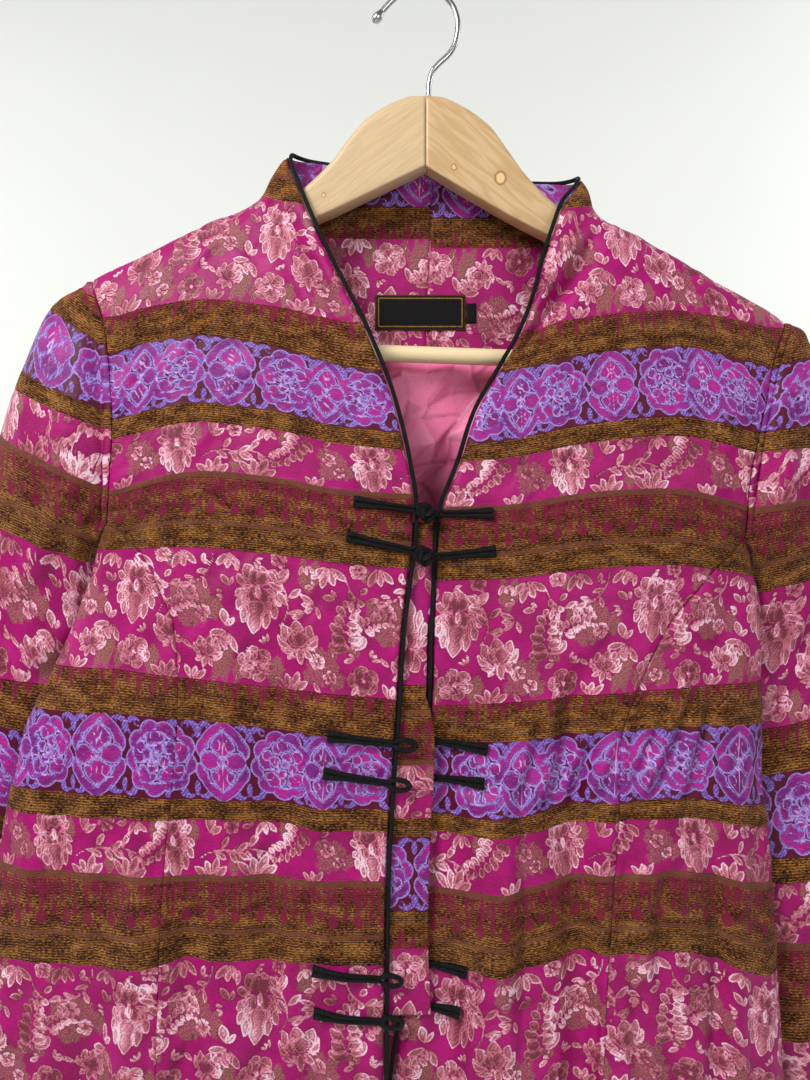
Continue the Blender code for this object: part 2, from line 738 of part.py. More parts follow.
def frog_points(side, start, turn, loop):
    """Path of the doubled cord of one half: out along one cord, round, and back."""
    first = Vector((start[0], 0.0, start[1]))
    axis = Vector((turn[0] - start[0], 0.0, turn[1] - start[1]))
    along = axis.normalized()
    across = Vector((-along.z, 0.0, along.x))
    half = frog_half(axis.length, loop)
    path = [first + along * place + across * aside for place, aside in half]
    path += [first + along * place - across * aside for place, aside in reversed(half[:-1])]
    for point in path:
        point.y = cord_height(side, point.x, point.z)
    return path


def add_frogs(cord, group):
    rows = len(FROGS["left_x"])
    for i in range(rows):
        row = {name: column[i] for name, column in FROGS.items()}
        number = str(i + 1)
        left = (row["left_x"], row["left_z"])
        loop = (row["loop_x"], row["loop_z"])
        add_cord(
            "frog_left_" + number, frog_points("left", left, loop, FROG_LOOP), CORD_R, cord, group
        )
        right = (row["right_x"], row["right_z"])
        turn = (row["turn_x"], row["turn_z"])
        add_cord(
            "frog_right_" + number, frog_points("right", right, turn, FROG_TURN), CORD_R, cord, group
        )
        add_knot("knot_" + number, row, i < FASTENED, cord, group)


def add_knot(name, row, fastened, cord, group):
    mesh = bmesh.new()
    bmesh.ops.create_uvsphere(mesh, u_segments=10, v_segments=7, radius=KNOT_R)
    if fastened:
        flat = 0.8
        base = cord_height("right", row["turn_x"], row["turn_z"])
        y = base - CORD_R - SEAM - KNOT_R * flat
    else:
        flat = 0.5
        y = front_y("right", read(EDGE["right"], "x", row["knot_z"]), row["knot_z"])
    for vert in mesh.verts:
        vert.co.y *= flat
    data = bpy.data.meshes.new(name)
    mesh.to_mesh(data)
    mesh.free()
    data.shade_smooth()
    thing = add_object(name, data, cord, group)
    thing.location = (row["knot_x"], y, row["knot_z"])


# ---- hanger --------------------------------------------------------------------------
def wood_ring(x, top, bottom):
    """Section of an arm: round above, with eased lower edges."""
    half = HANGER_HALF
    ease = WOOD_EDGE_ROUND
    outline = [(-half, bottom + ease)]
    for i in range(7):
        angle = math.pi * i / 6
        outline.append((-half * math.cos(angle), top - WOOD_TOP_ROUND * (1 - math.sin(angle))))
    outline += [(half, bottom + ease), (half - ease, bottom), (-half + ease, bottom)]
    return [(x, y, z) for y, z in outline]


def add_hanger(wood, metal, group):
    for side in ("left", "right"):
        form = WOOD[side]
        rings = [wood_ring(*row) for row in zip(form["x"], form["top"], form["bottom"])]
        name = "hanger_arm_" + side
        add_object(name, loft_mesh(name, rings, closed=True, capped=True), wood, group)
    ends = [Vector((x, 0.0, z)) for x, z in zip(BAR_ENDS["x"], BAR_ENDS["z"])]
    add_cord("hanger_bar", ends, BAR_R, wood, group, resolution=4)
    wire = [Vector((x, 0.0, z)) for x, z in zip(HOOK["x"], HOOK["z"])]
    add_cord("hanger_hook", wire, WIRE_R, metal, group, list(HOOK["thickness"]), resolution=2)


# ---- the part ------------------------------------------------------------------------
def main():
    clear_scene()
    group = new_collection("tang_jacket")
    brocade = new_material("magenta brocade", (0.42, 0.02, 0.17), 0.6)
    chenille = new_material("brown chenille", (0.14, 0.06, 0.02), 0.9)
    satin = new_material("pink lining satin", (0.68, 0.08, 0.26), 0.4)
    black = new_material("black satin cord", (0.01, 0.012, 0.02), 0.45)
    tape = new_material("label tape", (0.02, 0.02, 0.03), 0.5)
    wood = new_material("pale wood", (0.7, 0.5, 0.28), 0.5)
    steel = new_material("hook steel", (0.6, 0.6, 0.6), 0.3, 1.0)

    for side in ("left", "right"):
        add_cloth("front_" + side, front_rows(side), CLOTH, brocade, group)
        add_cloth("side_front_" + side, side_front_rows(side), CLOTH, brocade, group)
        add_cloth("back_" + side, back_rows(side), CLOTH, brocade, group)
        add_cloth("sleeve_" + side, sleeve_rows(side), CLOTH, brocade, group, closed=True)
        add_cloth("facing_" + side, facing_rows(side), THIN_CLOTH, chenille, group)
    add_cloth("underlap", underlap_rows(), THIN_CLOTH, brocade, group)

    lining = patch_rows(LINING_X, LINING_Z, 8, 5, FACING_LIFT)
    add_cloth("back_lining", lining, THIN_CLOTH, satin, group)
    for name, box, columns in (("label", LABEL_BOX, 6), ("size_tab", TAB_BOX, 1)):
        rows = patch_rows(box["x"], box["z"], columns, 2, LABEL_LIFT)
        add_cloth(name, rows, LABEL_CLOTH, tape, group)

    add_cord("edge_piping", piping_points(), PIPING_R, black, group)
    add_frogs(black, group)
    add_hanger(wood, steel, group)


main()
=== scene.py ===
"""Visual model of the tang jacket on its wooden hanger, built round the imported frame.

The cloth is a thin shell on the form of its solids, whose tables are repeated here. Each
panel is a fine grid of points. Every point carries its place on the brocade, in
millimetres across and along the cloth, and how deep it lies in the woven figures, and the
materials draw the stripes, the figures, the pile and the weave from that.

Frame: metres, +Z up, the fronts face -Y, "left" and "right" are -X and +X, and the origin
is the inner top of the hook. The tables of the form are written in millimetres, and
table() turns them into metres.
"""

import math

import bpy
import numpy as np
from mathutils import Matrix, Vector


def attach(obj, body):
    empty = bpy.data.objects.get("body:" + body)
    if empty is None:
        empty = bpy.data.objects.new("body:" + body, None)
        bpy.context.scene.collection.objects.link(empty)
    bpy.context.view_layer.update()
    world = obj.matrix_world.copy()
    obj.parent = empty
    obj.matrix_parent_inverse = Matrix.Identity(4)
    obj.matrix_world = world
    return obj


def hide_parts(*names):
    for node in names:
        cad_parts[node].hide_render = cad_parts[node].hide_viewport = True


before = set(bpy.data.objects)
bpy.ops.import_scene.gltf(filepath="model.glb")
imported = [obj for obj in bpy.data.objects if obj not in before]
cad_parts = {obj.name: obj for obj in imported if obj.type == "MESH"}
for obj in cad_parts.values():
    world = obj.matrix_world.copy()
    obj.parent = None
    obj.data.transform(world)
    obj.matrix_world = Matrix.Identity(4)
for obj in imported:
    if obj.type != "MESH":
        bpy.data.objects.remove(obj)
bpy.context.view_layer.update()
MM = 0.001

# ---- sizes shared with the part's source ----------------------------------------------
HEM_Z = -765.0 * MM
CLOTH = 2.0 * MM
THIN_CLOTH = 1.2 * MM
LABEL_CLOTH = 0.8 * MM
SEAM = 0.3 * MM
SEAM_INSET = 0.5 * MM
UNDERARM_CLEAR = 0.3 * MM
PIPING_R = 1.7 * MM
TIP_EASE = 1.2 * MM
TIP_EASE_DEPTH = 22 * MM
CORD_R = 1.05 * MM
KNOT_R = 5.6 * MM
HANGER_HALF = 7.0 * MM
BAR_R = 5.2 * MM
WIRE_R = 1.75 * MM
MID_X = 3.0 * MM
ROUNDNESS = 3.0
NEAR_SEAM = 0.02 * MM          # half the parting of two panels sewn together


def table(names, *rows):
    """Columns of millimetres, by name, in metres."""
    columns = np.array(rows, dtype=float).T * MM
    return dict(zip(names.split(), columns))


# Piped front edge: x of the piping's centre at each level z.
EDGE = {
    "left": table(
        "z x",
        (-103.5, -80.3), (-112, -79.8), (-119, -77.6), (-142, -68.8), (-178, -52.5),
        (-220, -31.6), (-260, -16), (-302, -6), (-325, -2.8), (-347, -3.2),
        (-370, -6.4), (-400, -10), (-450, -13.2), (-504, -17), (-551, -19.3),
        (-600, -20), (-765, -21),
    ),
    "right": table(
        "z x",
        (-118.5, 99.2), (-125, 96), (-138, 87), (-151, 82), (-176, 73.6),
        (-199, 67.6), (-221, 59), (-241, 47.8), (-271, 31), (-300, 21.6),
        (-327, 11.2), (-338, 8.8), (-378, 7), (-400, 6), (-435, 5.2),
        (-466, 3), (-502, 1.6), (-550, -2), (-604, -8), (-660, -17.5), (-765, -26),
    ),
}

# Outline of the body seen from the front: collar side, shoulder, then, past the
# shoulder point, how far the girth would reach inside the sleeve, and the side edge.
OUTLINE = {
    "left": table(
        "z x",
        (-103.5, -80.3), (-111, -87), (-120, -92.7), (-132, -99), (-138, -107),
        (-148, -130), (-158, -152), (-169.5, -174.6), (-184.6, -205.7), (-200, -219),
        (-240, -225), (-290, -221), (-325, -208), (-343.5, -199.5), (-354, -201.7),
        (-381, -209.6), (-424, -227.5), (-463, -245.8), (-496, -254.6), (-529, -262),
        (-600, -270), (-765, -276),
    ),
    "right": table(
        "z x",
        (-118.5, 99.2), (-124, 103.8), (-130, 106), (-137, 107.7), (-146, 114.6),
        (-158, 138.6), (-171, 161), (-184, 183), (-196.5, 206), (-211, 228.7),
        (-225, 238), (-260, 241), (-300, 231), (-335, 212), (-350, 204.3),
        (-357, 205), (-380, 210.4), (-410, 212.3), (-447, 214.2), (-495, 215),
        (-549, 221), (-616, 224.3), (-667, 226.8), (-765, 231),
    ),
}

# Armhole, from the shoulder point to where the princess seam leaves it.
ARMHOLE = {
    "left": table(
        "z x",
        (-184.6, -205.7), (-198, -200), (-216.5, -194), (-247.5, -189.6),
        (-272, -187.8), (-309, -189.8), (-336, -193.5), (-343.5, -199.5),
    ),
    "right": table(
        "z x",
        (-211, 228.7), (-225, 221.8), (-240, 216.4), (-260, 212), (-291, 204.8),
        (-320, 200.6), (-343, 200.6), (-350, 204.3),
    ),
}

# Princess seam of the front, from the armhole to the hem.
PRINCESS = {
    "left": table(
        "z x",
        (-336, -193.5), (-343.5, -181), (-357, -168), (-381, -155), (-396, -148.5),
        (-418, -145.3), (-442, -144.4), (-490, -147), (-532, -151), (-602, -154.7),
        (-765, -158),
    ),
    "right": table(
        "z x",
        (-343, 200.6), (-355, 190), (-363, 180), (-374, 169.4), (-397, 149),
        (-430, 131), (-471, 118), (-505, 117), (-532, 115), (-602, 110.3),
        (-765, 104),
    ),
}

# Half depths of the body on its centre line, and how far the right front's edge
# drops back below the third frog, where the underlap lies over it.
DEPTH = table(
    "z front back drop",
    (-103, 11, 16, 0), (-125, 14, 19, 0), (-160, 18, 21, 0), (-200, 22, 22, 0),
    (-280, 28, 22, 0), (-360, 31.5, 22, 0), (-422, 33, 22, 0), (-436, 33.5, 22, 4.6),
    (-450, 34, 22, 7.2), (-480, 34.2, 22, 9.5), (-765, 34.5, 22, 9.5),
)
DROP_WIDTH = 75 * MM           # the drop fades out this far from the edge

# Largest folds of the panels: forward is towards the viewer of that panel.
FOLDS = {
    "front_left": table(
        "x half_width forward z_top z_full",
        (-165, 34, 4.5, -400, -600), (-88, 30, -4.5, -420, -500),
        (-45, 24, 2.5, -480, -600), (-212, 26, -4, -440, -620),
    ),
    "front_right": table(
        "x half_width forward z_top z_full",
        (48, 30, 5, -430, -520), (88, 22, -6.5, -400, -500),
        (128, 26, 4, -440, -560), (176, 24, -6, -520, -640), (202, 16, 2.5, -560, -660),
    ),
    "back_left": table(
        "x half_width forward z_top z_full",
        (-60, 34, 4, -380, -600), (-125, 32, -4, -360, -560),
        (-185, 30, 3.5, -460, -640),
    ),
    "back_right": table(
        "x half_width forward z_top z_full",
        (42, 30, -3.5, -420, -600), (98, 34, 4.5, -360, -560),
        (160, 30, -4, -420, -620),
    ),
}

# Sleeve sections: where the section meets the outer and the inner edge of the sleeve,
# its middle's y, half its depth, and how far its front and back lean to the body.
SLEEVE = {
    "left": table(
        "outer_x outer_z inner_x inner_z mid_y half_depth lean",
        (-212.5, -187.5, -203.5, -345.0, 0.5, 14.5, 13), (-220, -191.5, -205, -346, 1, 18, 11),
        (-227, -196, -206.5, -348, 3, 21, 9.5), (-236.6, -204.7, -209, -352.5, 6, 25, 7),
        (-244, -217, -211.5, -358, 9.5, 28, 5), (-251.2, -230.6, -213, -364, 14, 30, 3),
        (-261, -251, -213, -373, 20, 31, 1), (-269.5, -272, -211.5, -385, 25, 31, 0),
        (-278, -295, -209, -400, 30, 29.5, 0), (-287, -322, -206, -420, 34, 27.5, 0),
        (-297, -356, -203.5, -444, 36, 25, 0), (-307, -398, -202, -470, 37, 23, 0),
        (-317, -446, -204, -500, 37, 22.5, 0), (-326, -498, -209.5, -535, 37, 22, 0),
        (-334.5, -552, -217, -580, 37, 22, 0), (-343, -606, -225.5, -627, 36.5, 21.5, 0),
        (-350.5, -660, -234, -676, 36, 21, 0), (-357, -706, -243, -718, 35.5, 20.5, 0),
        (-362, -748, -250, -757, 35, 20, 0),
    ),
    "right": table(
        "outer_x outer_z inner_x inner_z mid_y half_depth lean",
        (235.3, -212.4, 208.3, -351.5, 0.5, 14.5, 12), (239.5, -215.2, 210, -352.5, 1, 18, 10),
        (243, -218.5, 211.5, -354.5, 3, 21, 8), (247.5, -224.5, 213.5, -358.5, 6, 25, 6),
        (251.5, -235, 215.5, -364.5, 10, 28, 4), (256, -251, 216.5, -372, 15, 30, 2.5),
        (261, -271, 216.5, -382, 20.5, 31, 1), (266, -293, 214.5, -394, 26, 31, 0),
        (271, -318, 210.5, -409, 31, 29.5, 0), (275.5, -345, 204.5, -427, 34.5, 27.5, 0),
        (279.5, -376, 197, -448, 36.5, 25, 0), (283, -412, 189.5, -473, 37.5, 23, 0),
        (286.5, -456, 183.5, -504, 37.5, 22.5, 0), (290, -506, 181, -543, 37.5, 22, 0),
        (293.5, -558, 181.5, -587, 37, 22, 0), (297, -611, 184, -633, 36.5, 21.5, 0),
        (300, -664, 188, -680, 36, 21, 0), (302.5, -710, 192, -721, 35.5, 20.5, 0),
        (304.5, -752, 195, -760, 35, 20, 0),
    ),
}

# Underlap: sewn behind the left front, behind both fronts above, and over the right
# front below the third frog.
UNDERLAP = table(
    "z left right y",
    (-336, -16, 17, -27.4), (-360, -17, 13, -28.2), (-382, -20, 8.4, -28.8),
    (-400, -23, 3.9, -29.4), (-420, -24.5, 3.5, -29.9), (-434, -25.5, 3.1, -30.6),
    (-441, -26, 2.8, -31.2), (-447, -26.5, 5.6, -31.3), (-466, -28, 8.1, -31.3),
    (-504, -30, 6.5, -31.3), (-540, -31.5, 4.7, -31.3), (-578, -32.5, 4.1, -31.3),
    (-607, -33, 5.0, -31.3), (-627.5, -33, 5.8, -31.3),
)

# Neck facing on the back's inner face, and the lining below it.
FACING_END_Z = -225 * MM
FACING = {
    "left": table("z x", (-105, -58), (-120, -73), (-145, -76.5), (-180, -81), (-225, -84)),
    "right": table("z x", (-112, 72), (-120, 80), (-135, 86), (-150, 86), (-225, 86)),
}
LINING_Z = (-226 * MM, -405 * MM)
LINING_X = (-84 * MM, 90 * MM)
LABEL_BOX = table("x z", (-29, -186.5), (30, -209.5))
TAB_BOX = table("x z", (30.5, -192), (37, -205))

# Centre back seam and the piping of the back collar.
CENTRE_BACK = table("z x", (-105, 7.5), (-150, 7.2), (-190, 5), (-300, 3.4), (-765, 3))
COLLAR_TOP = table(
    "x z",
    (-80.3, -103.5), (-70, -102.6), (-45, -103.6), (7, -107.5), (60, -113),
    (88, -116.4), (99.2, -118.5),
)

# Frogs: outer end, and where the two cords turn, of each half.
FROGS = table(
    "left_x left_z loop_x loop_z right_x right_z turn_x turn_z knot_x knot_z",
    (-39.5, -323.8, 7.5, -330, 42.5, -330.8, 9.5, -331, 2.8, -330.5),
    (-43.5, -344.3, 6, -355.5, 44, -353, 8, -356.5, 1, -356),
    (-54.6, -461.3, -3.4, -467.2, 39, -470, 5, -466, -4, -466),
    (-57.2, -483, -6.9, -490.6, 37, -490, 4.4, -488, -5.2, -488),
    (-63.4, -598.3, -11.6, -604.8, 26.8, -602, -5, -597, -15, -597),
    (-62.6, -622.9, -11.3, -629.4, 22.7, -626, -9, -621.5, -19, -621.5),
)
FASTENED = 2                   # rows, from the top, whose knot is through its loop
FROG_LOOP = (6.2 * MM, 3.1 * MM)   # half length and half height of a loop
FROG_TURN = (2.6 * MM, 1.7 * MM)   # the same where the cords only turn back
FROG_FLARE = 1.9 * MM          # half width of each flattened cord at a half's outer end
FLAT_CORD = 1.4 * MM           # the same along the half
CORD_NECK = 1.08 * MM          # the same where a half meets its loop or knot
CORD_THICK = 1.15 * MM         # half thickness of the flattened cords
FROG_FLARE_END = 12 * MM

# Hanger: top and bottom of the wood at stations along it.
WOOD = {
    "left": table(
        "x top bottom",
        (3.15, -67.8, -113.6), (-6, -68, -118), (-14, -70.6, -121.8), (-24, -75.4, -126.6),
        (-34.6, -82.8, -131.8), (-44, -93.4, -136.4), (-55, -108.4, -141.6),
        (-72, -124.6, -149), (-90, -134.6, -156.5), (-118, -147.6, -168),
        (-150, -162, -182), (-163.5, -168.2, -190), (-166, -169.4, -236.5),
        (-186, -179.4, -236.5), (-194, -184.2, -230),
    ),
    "right": table(
        "x top bottom",
        (3.45, -67.8, -113.8), (12, -68.2, -119), (22, -72, -125), (33.6, -78.6, -131.8),
        (44, -87, -138), (54, -100.6, -143.6), (64, -114.8, -149), (77, -129.2, -155.6),
        (97, -144.6, -165.6), (120, -154.6, -176.5), (150, -170.5, -192),
        (178.5, -186.5, -208), (181, -188, -247), (204, -201, -247), (213, -207, -240),
    ),
}
WOOD_TOP_ROUND = 6 * MM
WOOD_EDGE_ROUND = 1.2 * MM
BAR_ENDS = table("x z", (-162.8, -223.8), (177.6, -236.2))

HOOK = table(
    "x z thickness",
    (-29.3, -20.4, 0.5), (-28.5, -19.3, 1.5), (-26.7, -17.2, 1.75), (-25, -15, 1.35),
    (-24, -13.6, 1.0), (-21.2, -10.4, 1.0), (-15.6, -5.0, 1.0), (-8.5, -0.6, 1.0),
    (0, 1.75, 1.0), (8.5, 0.6, 1.0), (16, -4.4, 1.0), (21.6, -12, 1.0),
    (23.9, -22, 1.0), (22.6, -32, 1.0), (18.6, -40, 1.0), (12.4, -46, 1.0),
    (8, -51, 1.0), (6, -57, 1.0), (5.4, -62, 1.0), (5.4, -67.4, 1.0),
)
HOOK["thickness"] = HOOK["thickness"] / MM

UNDERARM = {"left": -343.5 * MM, "right": -350 * MM}
TIP = {"left": (-80.3 * MM, -103.5 * MM), "right": (99.2 * MM, -118.5 * MM)}
SIGN = {"left": -1.0, "right": 1.0}
FACING_LIFT = CLOTH / 2 + 2 * SEAM + THIN_CLOTH / 2
LABEL_LIFT = FACING_LIFT + THIN_CLOTH / 2 + SEAM + LABEL_CLOTH / 2

# ---- the brocade's stripes ------------------------------------------------------------
# Along the cloth, in mm: brown pile 0-24, violet 24-68, brown 68-80, floral 80-111,
# wide brown 111-159, floral 159-239, and again. It repeats each REPEAT_U across.
REPEAT_U = 118.0
REPEAT_V = 239.0
STRIPE_V = (-80, 0, 24, 68, 80, 111, 159, 239, 263, 307, 319, 350, 398)

# The brown stripes along one repeat, whose pile stands up, and the next one's first.
BROWN = ((0, 24), (68, 80), (111, 159), (239, 263))
VIOLET = (18, 74)              # the violet stripe, with room round it
PILE_TALL = 0.3 * MM
# Those lines on a front and a back, in mm: height at the side seam, rise over the bust above
# a straight run, and drop from the side seam to the opening.
STRIPE_COURSE = {
    "left": (
        (-130, 10, 24), (-210, 12, 8), (-232, 14, 15), (-273, 12, 10), (-285, 12, 8),
        (-316, 12, 3), (-352, 5, 11), (-424, 0, 17), (-450, 2, 17), (-498, 0, 8),
        (-512, 2, 7), (-545, 1, 2), (-601, 5, -6),
    ),
    "right": (
        (-134, 14, 30), (-215, 11, 11), (-241, 14, 8), (-283, 13, 8), (-295, 13, 6),
        (-329, 13, -2), (-370, 9, 0), (-433, 2, 12), (-459, 4, 8), (-511, 11, 0),
        (-524, 12, -3), (-558, 15, -4), (-614, 20, -14),
    ),
}
STRIPE_ENDS = {"left": (-185, -10), "right": (212, 8)}   # x at the side seam and the opening
# Share of the rise that is reached at shares of the way from the side seam to the opening.
BUST_WAY = (0, 0.12, 0.3, 0.55, 0.8, 1)
BUST_SHARE = (0, 0.5, 1, 0.75, 0.12, 0)
# Heights of the same lines on the sleeves, at stations across them.
SLEEVE_STRIPES = {
    "left": np.array([
        (-370, -20, -110, -140, -190, -204, -243, -318, -424, -453, -509, -524, -563, -627),
        (-270, -90, -152, -180, -229, -243, -277, -338, -436, -467, -524, -539, -578, -642),
        (-230, -110, -176, -203, -252, -264, -298, -353, -442, -474, -531, -546, -585, -649),
        (-196, -132, -200, -227, -267, -278, -314, -366, -450, -482, -537, -552, -591, -655),
    ]),
    "right": np.array([
        (205, -140, -217, -244, -282, -293, -326, -383, -473, -501, -554, -571, -608, -672),
        (252, -133, -205, -230, -275, -289, -320, -370, -463, -494, -551, -566, -605, -670),
        (300, -120, -192, -217, -269, -286, -314, -357, -454, -486, -549, -562, -602, -667),
    ]),
}
# The facing and the underlap are cut with the cloth upside down.
FACING_V = {
    "left": ((-225, -75), (-150, 0), (-130, 24), (-100, 54)),
    "right": ((-225, -69), (-156, 0), (-137, 24), (-100, 61)),
}
UNDERLAP_V = (
    (-640, -52), (-588, 0), (-566, 24), (-522, 68), (-511, 80), (-480, 111), (-433, 159),
    (-350, 239), (-330, 259),
)


# ---- curves ---------------------------------------------------------------------------
def running(steps):
    """Places at the ends of a row of steps, from 0 to their sum."""
    return np.concatenate([[0.0], np.cumsum(steps)])


def places_along(points):
    """How far along a row of points each one lies."""
    return running(np.linalg.norm(np.diff(points, axis=0), axis=1))


def slopes(x, y):
    """Tangents of a monotone cubic through the points, so that it never overshoots."""
    step = np.diff(x)
    secant = np.diff(y) / step
    tangent = np.zeros(len(x))
    tangent[0] = secant[0]
    tangent[-1] = secant[-1]
    for i in range(1, len(x) - 1):
        if secant[i - 1] * secant[i] > 0:
            w_a = 2 * step[i] + step[i - 1]
            w_b = step[i] + 2 * step[i - 1]
            tangent[i] = (w_a + w_b) / (w_a / secant[i - 1] + w_b / secant[i])
    return tangent


def smooth_curve(x, y, key):
    """Values at key of the monotone cubic through the points."""
    key = np.clip(key, x[0], x[-1])
    i = np.clip(np.searchsorted(x, key) - 1, 0, len(x) - 2)
    tangent = slopes(x, y)
    width = x[i + 1] - x[i]
    t = (key - x[i]) / width
    rise = y[i] * (1 + 2 * t) * (1 - t) ** 2 + y[i + 1] * t * t * (3 - 2 * t)
    return rise + width * (tangent[i] * t * (1 - t) ** 2 - tangent[i + 1] * t * t * (1 - t))


def read(columns, name, key, at="z"):
    """Values of a column at places of another, on a smooth curve through the rows."""
    x = columns[at]
    y = columns[name]
    if x[0] > x[-1]:
        x = x[::-1]
        y = y[::-1]
    return smooth_curve(x, y, key)


def smooth_step(t):
    t = np.clip(t, 0.0, 1.0)
    return t * t * (3 - 2 * t)


def beside(line, side, z, clear):
    """Points beside a line of the front, away from the body's middle by a clearance."""
    step = 1.5 * MM
    slope = (read(line[side], "x", z - step) - read(line[side], "x", z + step)) / (2 * step)
    length = np.hypot(1.0, slope)
    x = read(line[side], "x", z) + SIGN[side] * clear / length
    return x, z + SIGN[side] * clear * slope / length


def ripple(u, v, size, seed):
    """Smooth seeded noise from -1 to 1, whose lumps are about one size across."""
    lattice = np.random.default_rng(seed).uniform(-1.0, 1.0, (64, 64))
    a = u / size
    b = v / size
    i = np.floor(a).astype(int)
    j = np.floor(b).astype(int)
    s = smooth_step(a - i)
    t = smooth_step(b - j)
    low = lattice[i % 64, j % 64] * (1 - s) + lattice[(i + 1) % 64, j % 64] * s
    high = lattice[i % 64, (j + 1) % 64] * (1 - s) + lattice[(i + 1) % 64, (j + 1) % 64] * s
    return low * (1 - t) + high * t


# ---- the body's form ------------------------------------------------------------------
def fullness(side, x, z):
    """Share of the centre depth that a level of the body has at x."""
    reach = read(OUTLINE[side], "x", z) - MID_X
    share = np.clip((x - MID_X) / reach, 0.0, 1.0)
    return np.sqrt(np.maximum(1.0 - share ** ROUNDNESS, 0.0))


def fold_depth(name, x, z, share):
    """How far the panel's folds bring it forward; they die out at the side edge."""
    folds = FOLDS[name]
    depth = 0.0
    for i in range(len(folds["x"])):
        across = np.abs(x - folds["x"][i]) / folds["half_width"][i]
        down = (folds["z_top"][i] - z) / (folds["z_top"][i] - folds["z_full"][i])
        depth = depth + folds["forward"][i] * smooth_step(1.0 - across) * smooth_step(down)
    return depth * np.minimum(1.0, share * 1.4)


def front_y(side, x, z):
    share = fullness(side, x, z)
    y = read(DEPTH, "front", z) * share + fold_depth("front_" + side, x, z, share)
    if side == "right":
        past_edge = (x - read(EDGE["right"], "x", z)) / DROP_WIDTH
        y = y - read(DEPTH, "drop", z) * (1.0 - smooth_step(past_edge))
    return -np.maximum(y, SEAM_INSET)


def back_y(side, x, z):
    share = np.where(SIGN[side] * (x - MID_X) < 0, 1.0, fullness(side, x, z))
    y = read(DEPTH, "back", z) * share + fold_depth("back_" + side, x, z, share)
    return np.maximum(y, SEAM_INSET)


def top_line(side, x):
    """Height of the collar side and shoulder seam at x."""
    last = int(np.argmin(np.abs(OUTLINE[side]["x"] - ARMHOLE[side]["x"][0]))) + 1
    shoulder = {name: column[:last] for name, column in OUTLINE[side].items()}
    return read(shoulder, "z", x, at="x")


def edge_clear(side, z):
    """Distance of a front's edge from the middle of its piping."""
    eased = 1.0 - smooth_step((TIP[side][1] - z) / TIP_EASE_DEPTH)
    return PIPING_R + SEAM + TIP_EASE * eased


# ---- place on the cloth ---------------------------------------------------------------
def stripe_place(lines, x, z):
    """Place along the brocade, in mm, of points whose stripes lie at these heights."""
    stations = lines[:, 0] * MM
    levels = [np.interp(x, stations, lines[:, k]) for k in range(1, lines.shape[1])]
    z = z / MM
    v = STRIPE_V[0] + np.minimum(levels[0] - z, 0.0)
    for k in range(len(levels) - 1):
        share = np.clip((levels[k] - z) / (levels[k] - levels[k + 1]), 0.0, 1.0)
        v = v + share * (STRIPE_V[k + 1] - STRIPE_V[k])
    return v + np.maximum(levels[-1] - z, 0.0)


def stripe_lines(side):
    """Rows of x and of the height of every stripe line there, over a front or a back."""
    start, end = STRIPE_ENDS[side]
    way = np.linspace(0.0, 1.0, 21)
    share = smooth_curve(np.array(BUST_WAY), np.array(BUST_SHARE), way)
    height, rise, drop = np.array(STRIPE_COURSE[side], dtype=float).T
    levels = height + np.outer(share, rise) - np.outer(way, drop)
    rows = np.column_stack([start + way * (end - start), levels])
    return rows[np.argsort(rows[:, 0])]


def facing_place(side, z):
    """Place along the cloth of the facings inside the neck."""
    line = np.array(FACING_V[side], dtype=float)
    return np.interp(z / MM, line[:, 0], line[:, 1]) + np.minimum(z / MM - line[0, 0], 0.0)


def along_rows(points):
    """Distance of each point from its row's first point, in metres."""
    step = np.linalg.norm(np.diff(points, axis=1), axis=2)
    return np.hstack([np.zeros((len(points), 1)), np.cumsum(step, axis=1)])


def along_columns(points):
    return along_rows(points.transpose(1, 0, 2)).T


# ---- the woven figures ----------------------------------------------------------------
CELL = 0.3                     # mm
GAP = 0.3                      # mm, half the line left between two petals
grid_u, grid_v = np.meshgrid(
    np.arange(0, REPEAT_U, CELL), np.arange(0, REPEAT_V, CELL), indexing="ij"
)


def wrapped(value, period):
    return (value + period / 2) % period - period / 2


